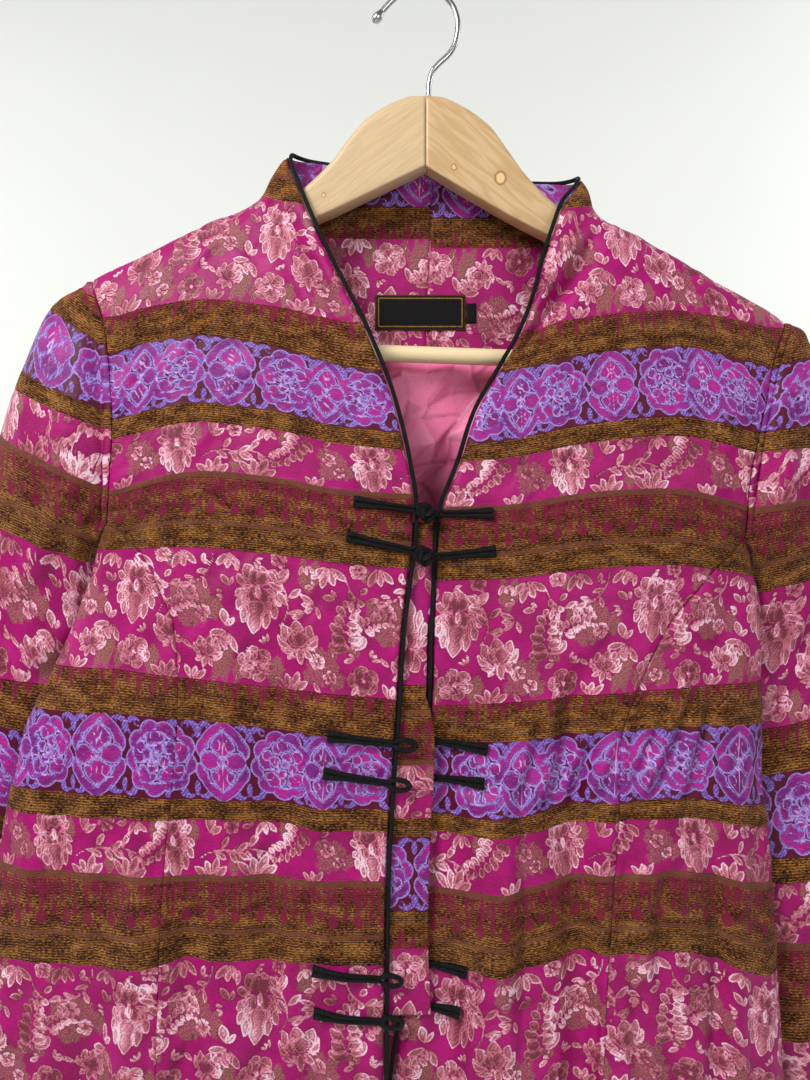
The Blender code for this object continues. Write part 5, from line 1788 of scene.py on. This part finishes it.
# Knots on the front of each arm: x, z and size in mm.
KNOTS_IN_WOOD = {
    "left": [(-60, -132, 1.3)],
    "right": [(49.8, -121.5, 3.4), (21.0, -114.5, 1.8)],
}


def arm_ring(top, bottom):
    """y and z round the wood: up its front, over its round top, down its back, under."""
    half = HANGER_HALF
    ease = WOOD_EDGE_ROUND
    wall = np.linspace(0, 1, 12)
    angle = np.linspace(0, math.pi, 13)[1:-1]
    low = (bottom + ease)[:, None]
    high = (top - WOOD_TOP_ROUND)[:, None]
    front = low + (high - low) * wall
    crown = high + WOOD_TOP_ROUND * np.sin(angle)
    under = bottom[:, None] + ease * np.array([0.3, 0.0, 0.0, 0.3])
    y = np.concatenate([
        np.full(12, -half), -half * np.cos(angle), np.full(12, half),
        [half - ease * 0.3, half - ease, ease - half, ease * 0.3 - half],
    ])
    return y, np.hstack([front, crown, front[:, ::-1], under])


def add_arm(side, wood):
    """One arm of the hanger: round above, with eased lower edges."""
    form = WOOD[side]
    place = running(np.hypot(np.diff(form["x"]), np.diff(form["top"])))
    fine = np.unique(np.concatenate([np.linspace(0, place[-1], 130), place]))
    x = np.interp(fine, place, form["x"])
    top = smooth_curve(place, form["top"], fine)
    bottom = np.interp(fine, place, form["bottom"])
    ring_y, z = arm_ring(top, bottom)
    points = np.stack([
        np.broadcast_to(x[:, None], z.shape), np.broadcast_to(ring_y[None, :], z.shape), z,
    ], axis=-1)
    middle = points.mean(axis=1, keepdims=True)
    ends = []
    for end in (slice(0, 1), slice(-1, None)):
        ends.append([middle[end] + (points[end] - middle[end]) * k for k in (0.0, 0.5, 0.93)])
    grid = np.concatenate(ends[0] + [points] + ends[1][::-1])
    direction = np.array([form["x"][8] - form["x"][0], 0, form["top"][8] - form["top"][0]])
    direction /= np.linalg.norm(direction)
    across = np.array([direction[2], 0, -direction[0]])
    cloth = np.stack([grid @ direction, grid @ across, grid[..., 1]], axis=-1) / MM
    knots = np.full(grid.shape[:2], 99.0)
    for kx, kz, size in KNOTS_IN_WOOD[side]:
        away = np.hypot(grid[..., 0] / MM - kx, (grid[..., 2] / MM - kz) * 0.86) / size
        knots = np.minimum(knots, np.where(grid[..., 1] < 0, away, 99.0))
    # painted shade: 1 draws the right arm's wood darker than the left's
    shade = np.full(grid.shape[:2], 0.0 if side == "left" else 1.0)
    figure = np.stack([knots, shade, 0 * knots], axis=-1)
    sheet = {"points": grid, "cloth": cloth, "figure": figure, "closed": True}
    return add_piece(f"hanger_arm_{side}_wood", "hanger_arm_" + side, [sheet], (wood,))


def add_hanger(wood, metal):
    """The two arms, the bar between them and the hook."""
    pieces = [add_arm("left", wood), add_arm("right", wood)]
    ends = np.array([[x, 0.0, z] for x, z in zip(BAR_ENDS["x"], BAR_ENDS["z"])])
    t = np.linspace(0, 1, 90)[:, None]
    path = ends[0] * (1 - t) + ends[1] * t
    bar = cord_sheet(path, BAR_R * (1 + 0.004 * ripple(t[:, 0] * 300, 0 * t[:, 0], 20, 161)), 24)
    # the bar: no knot, a third of the right arm's painted shade, and painted light that draws it paler
    bar["figure"] = np.broadcast_to([99.0, 0.3, 1.0], bar["points"].shape)
    pieces.append(add_piece("hanger_bar_wood", "hanger_bar", [bar], (wood,)))
    wire = np.array([[x, 0.0, z] for x, z in zip(HOOK["x"], HOOK["z"])])
    place = places_along(wire)
    fine = np.linspace(0, place[-1], HOOK_RINGS)
    thickness = np.maximum(smooth_curve(place, HOOK["thickness"], fine), 0.35)
    hook = cord_sheet(smooth_path(wire, HOOK_RINGS), WIRE_R * thickness, 14)
    pieces.append(add_piece("hanger_hook_wire", "hanger_hook", [hook], (metal,)))
    return pieces


# ---- materials ------------------------------------------------------------------------
def srgb(r, g, b):
    """Linear colour of display values from 0 to 255."""
    values = np.array([r, g, b]) / 255.0
    linear = np.where(values <= 0.04045, values / 12.92, ((values + 0.055) / 1.055) ** 2.4)
    return (*[float(c) for c in linear], 1.0)


def grey(value):
    return (value, value, value, 1.0)


class Shader:
    """A material's nodes, with short calls for what the pieces here need."""

    def __init__(self, name):
        self.material = bpy.data.materials.new(name)
        self.material.use_nodes = True
        self.tree = self.material.node_tree
        self.surface = self.tree.nodes["Principled BSDF"]

    def node(self, kind, inputs=None, **settings):
        node = self.tree.nodes.new("ShaderNode" + kind)
        for key, value in settings.items():
            setattr(node, key, value)
        for place, value in (inputs or {}).items():
            self.feed(node.inputs[place], value)
        return node

    def feed(self, socket, value):
        if isinstance(value, bpy.types.NodeSocket):
            self.tree.links.new(value, socket)
        else:
            socket.default_value = value

    def attribute(self, name):
        return self.node("Attribute", attribute_name=name).outputs["Vector"]

    def split(self, vector):
        return tuple(self.node("SeparateXYZ", {0: vector}).outputs)

    def math(self, operation, a, b=0.0, c=0.0):
        return self.node("Math", {0: a, 1: b, 2: c}, operation=operation).outputs[0]

    def plus(self, a, b):
        return self.math("ADD", a, b)

    def times(self, a, b, added=None):
        """a times b, with a third value added where one is given."""
        if added is None:
            return self.math("MULTIPLY", a, b)
        return self.math("MULTIPLY_ADD", a, b, added)

    def wave(self, value, rate):
        """Sine of a value times a rate, from -1 to 1."""
        return self.math("SINE", self.times(value, rate))

    def less_than_one(self, value):
        return self.math("SUBTRACT", 1.0, value)

    def scaled(self, vector, x, y, z=1.0):
        return self.node(
            "VectorMath", {0: vector, 1: (x, y, z)}, operation="MULTIPLY"
        ).outputs[0]

    def noise(self, vector, scale, detail=2.0, rough=0.5):
        inputs = {"Vector": vector, "Scale": scale, "Detail": detail, "Roughness": rough}
        return self.node("TexNoise", inputs).outputs[0]

    def step(self, value, low, high):
        """0 below low, 1 above high, smooth between."""
        inputs = {0: value, 1: low, 2: high, 3: 0.0, 4: 1.0}
        return self.node("MapRange", inputs, interpolation_type="SMOOTHSTEP").outputs[0]

    def band(self, value, low, full, still_full, high):
        """0 below low and above high, 1 from full to still_full."""
        return self.times(self.step(value, low, full), self.step(value, high, still_full))

    def mix(self, share, a, b):
        node = self.node("Mix", data_type="RGBA")
        self.feed(node.inputs[0], share)
        self.feed(node.inputs[6], a)
        self.feed(node.inputs[7], b)
        return node.outputs[2]

    def over(self, colour, laid, share, weight):
        """A colour with another laid over it, where the share is 1, by a weight."""
        return self.mix(self.times(share, weight), colour, laid)

    def ramp(self, value, stops, interpolation="LINEAR"):
        node = self.node("ValToRGB", {0: value})
        ramp = node.color_ramp
        ramp.interpolation = interpolation
        while len(ramp.elements) > 1:
            ramp.elements.remove(ramp.elements[-1])
        ramp.elements[0].position = stops[0][0]
        ramp.elements[0].color = stops[0][1]
        for place, colour in stops[1:]:
            ramp.elements.new(place).color = colour
        return node.outputs[0]

    def stripes(self, place, stops, interpolation="LINEAR"):
        """Colours at places along the repeat, which are given in mm."""
        return self.ramp(place, [(mm / REPEAT_V, colour) for mm, colour in stops], interpolation)

    def bump(self, height, strength, distance):
        return self.node(
            "Bump", {"Strength": strength, "Distance": distance, "Height": height}
        ).outputs[0]

    def finish(self, colour, roughness, normal=None, **constants):
        self.feed(self.surface.inputs["Base Color"], colour)
        self.feed(self.surface.inputs["Roughness"], roughness)
        if normal is not None:
            self.feed(self.surface.inputs["Normal"], normal)
        for name, value in constants.items():
            self.surface.inputs[name.replace("_", " ")].default_value = value
        return self.material


class Brocade(Shader):
    """The brocade's nodes, with the places and the threads that its stripes share."""

    def __init__(self):
        super().__init__("brocade")
        cloth = self.attribute("cloth")
        self.first, self.second, self.third = self.split(self.attribute("figure"))
        self.u, self.v, self.tone = self.split(cloth)
        self.flat = self.scaled(cloth, 1.0, 1.0, 0.0)
        self.fuzz = self.noise(self.flat, 0.9, 3.0, 0.6)
        self.broad = self.noise(self.flat, 0.045, 2.0)
        self.fine = self.noise(self.scaled(self.flat, 1.0, 2.4), 1.6, 2.0)
        self.weft = self.noise(self.scaled(self.flat, 0.22, 1.5), 1.0, 3.0, 0.7)
        self.fleck = self.noise(self.scaled(self.flat, 0.42, 1.9), 1.2, 3.0, 0.75)
        uneven = self.times(self.fuzz, 1.3, -0.65)
        self.place = self.math("FRACT", self.math("DIVIDE", self.plus(self.v, uneven), REPEAT_V))
        slope = self.times(self.noise(self.flat, 0.12), 9.0, self.times(self.u, 1.1, self.v))
        self.hatch = self.times(self.wave(slope, 2.3), 0.5, 0.5)

    def floral(self):
        """Twill ground, hatched shades, and pale figures that lighten to their tips, whitened in broad
        patches by painted sheen.
        """
        grain = self.noise(self.flat, 1.3, 2.0, 0.6)
        ground = self.mix(self.step(self.broad, 0.3, 0.7), srgb(138, 0, 84), srgb(176, 3, 114))
        ground = self.over(ground, srgb(112, 2, 64), self.step(self.weft, 0.4, 0.66), 0.45)
        ground = self.over(ground, srgb(204, 40, 140), self.step(grain, 0.4, 0.66), 0.3)
        shade_edge = self.times(self.fuzz, 4.4, self.plus(self.second, -2.2))
        hatching = self.times(self.step(self.hatch, 0.1, 0.6), 0.4, 0.52)
        shaded = self.times(self.step(shade_edge, -1.0, 0.7), hatching)
        taupe = self.mix(self.step(grain, 0.34, 0.64), srgb(92, 46, 40), srgb(168, 118, 100))
        body = self.mix(shaded, ground, taupe)
        body = self.over(body, srgb(96, 4, 50), self.step(self.first, -0.9, -0.1), 0.4)
        # painted sheen: broad noise whitens the pale figures in patches, as light on satin floats would
        light = self.times(self.noise(self.flat, 0.04, 3.0), 1.7, self.times(self.tone, 0.8, -0.84))
        light = self.times(self.weft, 0.9, self.plus(light, -0.6))
        light = self.times(self.hatch, 0.18, self.plus(light, -0.09))
        light = self.times(grain, 0.9, self.plus(light, -0.45))
        light = self.times(self.band(self.first, -0.1, 0.25, 0.55, 1.15), 0.3, light)
        pale = self.ramp(light, [
            (0.0, srgb(112, 40, 60)), (0.2, srgb(146, 70, 86)), (0.45, srgb(184, 98, 120)),
            (0.74, srgb(212, 134, 156)), (1.1, srgb(242, 202, 220)),
        ])
        vein = self.band(self.first, 0.95, 1.25, 1.7, 2.1)
        pale = self.over(pale, srgb(112, 52, 56), vein, 0.4)
        mask = self.step(self.times(self.fuzz, 1.2, self.plus(self.first, -0.4)), 0.0, 0.4)
        return self.mix(mask, body, pale), mask

    def violet(self):
        """Maroon ground, medallions in hatched outlines, scrolls and thin threads, with painted glints on
        the lilac.
        """
        glint_flecks = self.noise(self.scaled(self.flat, 0.7, 1.3), 0.8, 3.0, 0.75)
        mottle = self.noise(self.flat, 0.16, 3.0, 0.6)
        maroon = self.mix(self.fine, srgb(56, 2, 24), srgb(104, 6, 52))
        braid = self.math("SINE", self.times(self.u, 3.1, self.times(self.v, 2.1)))
        lilac = self.mix(self.step(braid, -0.9, 0.9), srgb(90, 50, 140), srgb(128, 92, 184))
        # painted glints: pale flecks laid over the lilac
        lilac = self.over(lilac, srgb(180, 160, 234), self.step(glint_flecks, 0.5, 0.66), 0.85)
        fill = self.mix(self.step(self.broad, 0.35, 0.65), srgb(112, 8, 92), srgb(178, 14, 126))
        fill = self.over(fill, srgb(116, 44, 148), self.step(mottle, 0.46, 0.64), 0.55)
        fill = self.over(fill, srgb(108, 48, 160), self.step(self.hatch, 0.5, 0.9), 0.35)
        fill = self.over(fill, srgb(196, 120, 200), self.step(self.weft, 0.52, 0.7), 0.35)
        spread = self.times(mottle, 7.0, self.times(self.fuzz, 1.2, self.first))
        woven = self.mix(self.step(spread, 5.9, 4.6), fill, lilac)
        contour = self.band(self.first, -0.1, 0.15, 0.45, 0.8)
        woven = self.over(woven, srgb(206, 166, 230), contour, 0.42)
        mask = self.step(self.first, -0.3, 0.0)
        colour = self.mix(self.step(self.second, -0.1, 0.25), maroon, lilac)
        colour = self.mix(mask, colour, woven)
        thread = self.times(self.step(self.third, -0.2, 0.15), mask)
        return self.over(colour, srgb(214, 182, 238), thread, 0.75), mask

    def brown(self):
        """Chenille pile with flecks, crossed by magenta drips and by thin tan lines."""
        patch = self.noise(self.scaled(self.flat, 0.45, 1.0), 0.14, 4.0, 0.6)
        tuft = self.times(self.fleck, 0.9, self.times(patch, 0.38, -0.11))
        rib = self.wave(self.times(self.fuzz, 0.3, self.v), 4.4)
        colour = self.ramp(self.times(rib, 0.045, tuft), [
            (0.42, srgb(8, 0, 0)), (0.485, srgb(46, 8, 2)), (0.55, srgb(102, 54, 24)),
            (0.64, srgb(188, 132, 70)),
        ])
        tint = self.noise(self.scaled(self.flat, 0.8, 1.1), 0.75, 2.0, 0.6)
        colour = self.over(colour, srgb(150, 114, 34), self.step(tint, 0.52, 0.68), 0.4)
        colour = self.over(colour, srgb(74, 2, 24), self.step(tint, 0.48, 0.34), 0.42)
        rose = self.mix(self.step(self.fleck, 0.36, 0.64), srgb(60, 8, 18), srgb(140, 28, 60))
        share = self.stripes(self.place, [
            (0, grey(0.4)), (12, grey(0.1)), (24, grey(0.0)), (110.9, grey(0.0)),
            (114, grey(0.62)), (130, grey(0.55)), (139, grey(0.2)), (146, grey(0.0)),
        ])
        columns = self.noise(self.scaled(self.flat, 0.55, 0.07), 1.0, 2.0)
        broken = self.plus(self.times(columns, 0.6), self.times(self.fuzz, 0.4))
        colour = self.mix(self.times(share, self.step(broken, 0.42, 0.58)), colour, rose)
        drip_edge = self.times(self.fuzz, 3.0, self.plus(self.third, -1.5))
        drip = self.mix(self.weft, srgb(98, 10, 40), srgb(152, 24, 78))
        colour = self.over(colour, drip, self.step(drip_edge, -0.7, 1.0), 0.8)
        lines = self.stripes(self.place, [
            (0, grey(0.0)), (110.6, grey(1.0)), (114.2, grey(0.0)), (141.6, grey(0.8)),
            (144.4, grey(0.0)),
        ], "CONSTANT")
        tan = self.mix(self.weft, srgb(96, 44, 40), srgb(136, 84, 66))
        return self.over(colour, tan, lines, 0.75)


def brocade_material():
    """Satin and chenille brocade, drawn from the place on the cloth."""
    s = Brocade()
    none = (0.0, 0.0, 0.0, 1.0)
    floral_zone = (1.0, 0.0, 0.0, 1.0)
    violet_zone = (0.0, 1.0, 0.0, 1.0)
    zones = s.stripes(s.place, [
        (0, none), (24, violet_zone), (68, none), (80, floral_zone), (111, none),
        (159, floral_zone),
    ], "CONSTANT")
    floral, violet, _ = s.node("SeparateColor", {0: zones}).outputs
    floral_colour, floral_mask = s.floral()
    violet_colour, violet_mask = s.violet()
    colour = s.mix(floral, s.mix(violet, s.brown(), violet_colour), floral_colour)
    satin = s.plus(floral, violet)
    pile = s.less_than_one(satin)
    rough = s.plus(s.times(satin, s.times(s.fine, 0.2, 0.34)), s.times(pile, 0.94))
    relief = s.times(s.plus(floral_mask, violet_mask), satin)
    height = s.plus(s.times(relief, 0.5), s.times(s.weft, 0.7))
    height = s.plus(height, s.times(s.times(pile, s.fleck), 2.6))
    return s.finish(
        colour, rough, s.bump(height, 0.8, 0.4 * MM), Sheen_Weight=0.03, Sheen_Roughness=0.4,
        Sheen_Tint=(1.0, 0.75, 0.7, 1.0), Specular_IOR_Level=0.22,
    )


def satin_material():
    """Pink lining satin, with painted light and painted shade on its facets, painted shadow and painted
    highlights along its folds, and painted glints.
    """
    s = Shader("lining satin")
    cloth = s.scaled(s.attribute("cloth"), 1.0, 1.0, 0.0)
    twist = s.noise(cloth, 0.08, 3.0)
    spark = s.noise(cloth, 1.1, 3.0, 0.7)
    facet_light, fold, _ = s.split(s.attribute("figure"))
    # painted shadow darkens the darker facets towards their fold, and a painted highlight runs along the
    # fold of the lighter ones
    shaded = s.times(s.step(fold, 0.34, 0.0), s.step(facet_light, 0.75, 0.3))
    fold_highlight = s.times(s.step(fold, 0.07, 0.02), s.step(facet_light, 0.5, 0.7))
    colour = s.mix(twist, srgb(244, 112, 164), srgb(255, 140, 186))
    # painted light and painted shade: each facet drawn lighter or darker by its own tone
    colour = s.over(colour, srgb(196, 66, 114), s.step(facet_light, 0.45, 0.0), 0.45)
    colour = s.over(colour, srgb(255, 160, 196), s.step(facet_light, 0.6, 1.0), 0.4)
    colour = s.over(colour, srgb(150, 40, 84), shaded, 0.75)
    colour = s.over(colour, srgb(255, 196, 220), fold_highlight, 0.6)
    # spark speckles the satin darker and paler; its pale flecks are painted glints, and it also sets the
    # roughness and the bump
    colour = s.mix(s.step(spark, 0.45, 0.3), colour, srgb(214, 78, 130))
    colour = s.over(colour, srgb(255, 190, 214), s.step(spark, 0.6, 0.72), 0.5)
    return s.finish(
        colour, s.times(spark, 0.2, 0.34), s.bump(spark, 0.3, 0.3 * MM),
        Sheen_Weight=0.1, Sheen_Roughness=0.3,
    )


def trim_material():
    """Black satin cord cut on the bias."""
    s = Shader("black satin trim")
    cloth = s.attribute("cloth")
    along, around, _ = s.split(cloth)
    bias = s.wave(s.plus(along, s.times(around, 0.9)), 4.2)
    fine = s.noise(s.scaled(cloth, 1.0, 3.0), 1.5, 2.0)
    crinkle = s.noise(s.scaled(cloth, 0.7, 0.9), 1.0, 2.0, 0.6)
    height = s.times(crinkle, 2.4, s.plus(s.times(bias, 0.4), fine))
    return s.finish(
        s.mix(fine, srgb(1, 1, 2), srgb(7, 8, 14)), s.times(fine, 0.2, 0.36),
        s.bump(height, 0.9, 0.45 * MM), Specular_IOR_Level=0.26,
    )


def label_material(name, border):
    """Black woven tape, bare but for a thin gold line inside its edge."""
    s = Shader(name)
    cloth = s.attribute("cloth")
    _, up, edge = s.split(cloth)
    weft = s.times(s.wave(up, 14.0), 0.5, 0.5)
    fine = s.noise(s.scaled(cloth, 2.0, 5.0, 0.0), 1.0, 2.0)
    colour = s.mix(fine, srgb(3, 3, 5), srgb(14, 12, 16))
    colour = s.over(colour, srgb(30, 26, 28), weft, 0.3)
    if border:
        gold = s.band(edge, 1.75, 2.0, 2.5, 2.75)
        broken = s.step(s.noise(cloth, 2.2, 1.0), 0.36, 0.5)
        colour = s.over(colour, srgb(150, 116, 52), gold, broken)
        colour = s.mix(s.step(edge, 0.95, 0.7), colour, srgb(70, 48, 24))
    normal = s.bump(s.plus(weft, fine), 0.4, 0.12 * MM)
    return s.finish(colour, 0.5, normal, Specular_IOR_Level=0.12)


def wood_material():
    """Pale varnished wood, with its grain along each arm and a few small knots; the right arm darker by
    painted shade, the bar paler by painted light.
    """
    s = Shader("pale wood")
    place = s.attribute("cloth")
    knot, shade, bar_painted_light = s.split(s.attribute("figure"))
    _, across, _ = s.split(place)
    bend = s.noise(s.scaled(place, 0.02, 0.12, 0.12), 1.0, 2.0)
    rings = s.times(bend, 26.0, s.times(across, 0.55))
    rings = s.plus(rings, s.math("DIVIDE", 5.0, s.plus(knot, 1.0)))
    grain = s.times(s.math("SINE", rings), 0.5, 0.5)
    streak = s.noise(s.scaled(place, 0.05, 2.2, 2.2), 1.0, 4.0, 0.6)
    pore = s.step(s.noise(s.scaled(place, 0.22, 5.0, 5.0), 1.0, 2.0), 0.6, 0.72)
    # painted shade: the right arm, and a little of the bar, drawn darker
    colour = s.mix(shade, srgb(206, 180, 140), srgb(194, 158, 112))
    colour = s.over(colour, srgb(218, 192, 150), grain, 0.6)
    colour = s.over(colour, srgb(194, 154, 106), s.step(streak, 0.42, 0.66), 0.5)
    colour = s.over(colour, srgb(178, 130, 82), pore, 0.4)
    # painted light: the bar drawn paler
    colour = s.over(colour, srgb(250, 230, 186), bar_painted_light, 0.7)
    colour = s.over(colour, srgb(240, 206, 146), s.step(knot, 1.1, 0.7), 0.7)
    colour = s.over(colour, srgb(158, 98, 50), s.band(knot, 0.72, 0.95, 1.05, 1.35), 0.8)
    colour = s.over(colour, srgb(150, 92, 44), s.step(knot, 0.3, 0.1), 0.6)
    normal = s.bump(s.plus(streak, grain), 0.2, 0.12 * MM)
    return s.finish(
        colour, s.times(streak, 0.2, 0.36), normal, Coat_Weight=0.15, Coat_Roughness=0.3
    )


def steel_material():
    """Plated wire with a few dull marks."""
    s = Shader("hook steel")
    marks = s.noise(s.scaled(s.attribute("cloth"), 0.6, 2.0), 1.0, 3.0, 0.6)
    colour = s.mix(marks, srgb(150, 150, 154), srgb(214, 214, 216))
    normal = s.bump(marks, 0.1, 0.1 * MM)
    return s.finish(colour, s.times(marks, 0.3, 0.12), normal, Metallic=1.0)


def wall_material():
    """Matt off-white paint, barely uneven."""
    s = Shader("pale wall")
    place = s.node("TexCoord").outputs["Object"]
    colour = s.mix(s.noise(place, 3.0, 3.0), srgb(247, 249, 245), srgb(250, 252, 249))
    return s.finish(colour, 0.9)


# ---- stage, light and camera ----------------------------------------------------------
# All in metres. The floor runs back to the cove, which curves up into the wall.
FLOOR_Z = -1.55
FLOOR_Y = (-4.0, 0.9)
COVE_R = 0.8
WALL_Y = 1.7
WALL_Z = (-0.6, 2.6)
STAGE_X = (-4.5, 4.5)
# Each light: its name, its place, what it faces, its size, its power in watts, its colour.
LIGHTS = (
    ("window", (-0.95, -1.15, 0.8), (0, 0, -0.25), (0.6, 0.75), 33, (1.0, 0.99, 0.97)),
    ("fill", (0.85, -1.8, 0.0), (0, 0, -0.3), (0.8, 0.8), 10.5, (1.0, 0.98, 0.96)),
    ("wall wash", (2.2, 0.35, 0.7), (0.9, 1.7, 0.0), (0.8, 1.2), 20, (1.0, 1.0, 1.0)),
    ("left wash", (-2.2, 0.35, 0.5), (-0.9, 1.7, 0.0), (0.8, 1.2), 15, (1.0, 1.0, 1.0)),
)
ROOM_COLOUR = (1.0, 0.99, 0.97, 1.0)
ROOM_LIGHT = 0.22
CAMERA_PLACE = (-0.0095, -0.511, -0.3465)
SENSOR = 36.0                  # mm, along the picture's longer side
PHOTO_TALL = 1080              # the photo's longer side, in its pixels
FOCAL = 811                    # the lens, in the same pixels


def add_stage(wall):
    """A pale floor that curves up into a wall behind the jacket."""
    profile = [(y, FLOOR_Z) for y in np.linspace(*FLOOR_Y, 12)]
    for k in range(1, 13):
        a = math.pi / 2 * k / 12
        profile.append((FLOOR_Y[1] + COVE_R * math.sin(a), FLOOR_Z + COVE_R * (1 - math.cos(a))))
    profile += [(WALL_Y, z) for z in np.linspace(*WALL_Z, 8)]
    grid = np.array([[(x, y, z) for x in np.linspace(*STAGE_X, 19)] for y, z in profile])
    data = bpy.data.meshes.new("stage")
    data.from_pydata(grid.reshape(-1, 3).tolist(), [], grid_quads(*grid.shape[:2]).tolist())
    data.polygons.foreach_set("use_smooth", np.ones(len(data.polygons), dtype=bool))
    data.materials.append(wall)
    floor = bpy.data.objects.new("stage", data)
    bpy.context.scene.collection.objects.link(floor)


def add_light(name, place, target, size, power, colour):
    data = bpy.data.lights.new(name, "AREA")
    data.shape = "RECTANGLE"
    data.size, data.size_y = size
    data.energy = power
    data.color = colour
    light = bpy.data.objects.new(name, data)
    light.location = place
    light.rotation_euler = (Vector(target) - Vector(place)).to_track_quat("-Z", "Y").to_euler()
    bpy.context.scene.collection.objects.link(light)


def add_camera():
    """Camera at the photograph's viewpoint; its picture is taken as 810 by 1080."""
    data = bpy.data.cameras.new("camera")
    data.sensor_fit = "AUTO"
    data.sensor_width = SENSOR
    data.lens = SENSOR * FOCAL / PHOTO_TALL
    data.clip_start = 0.01
    camera = bpy.data.objects.new("camera", data)
    camera.location = CAMERA_PLACE
    camera.rotation_euler = (math.pi / 2, 0.0, 0.0)
    bpy.context.scene.collection.objects.link(camera)
    bpy.context.scene.camera = camera


def set_world():
    world = bpy.data.worlds.new("room")
    world.use_nodes = True
    background = world.node_tree.nodes["Background"]
    background.inputs["Color"].default_value = ROOM_COLOUR
    background.inputs["Strength"].default_value = ROOM_LIGHT
    bpy.context.scene.world = world


def declare_sheets():
    """Gather, for each front, the names of what is sewn upon it; nothing reads the list."""
    upon = {"front_left_cloth": ["edge_piping_cord"], "front_right_cloth": []}
    for number in range(1, 7):
        upon["front_left_cloth"].append(f"frog_left_{number}_cord")
        upon["front_right_cloth"].append(f"frog_right_{number}_cord")
        upon["front_right_cloth"].append(f"knot_{number}_plait")


def main():
    add_camera()
    set_world()
    add_stage(wall_material())
    for light in LIGHTS:
        add_light(*light)
    brocade = brocade_material()
    satin = satin_material()
    trim = trim_material()
    wood = wood_material()
    steel = steel_material()
    both = (brocade, satin)
    for side in ("left", "right"):
        for add in (add_front, add_side_front, add_back, add_sleeve):
            add(side, both)
        add_facing(side, brocade)
    add_underlap(both)
    lining = add_lining(satin)
    label = add_patch("label_tape", "label", LABEL_BOX, 70, 30, label_material("label tape", True))
    tab = add_patch("size_tab_tape", "size_tab", TAB_BOX, 14, 24, label_material("tab tape", False))
    trims = [add_piping(trim)] + add_frogs(trim)
    hanger = add_hanger(wood, steel)
    declare_sheets()


main()
bpy.context.scene.view_settings.view_transform = "Standard"
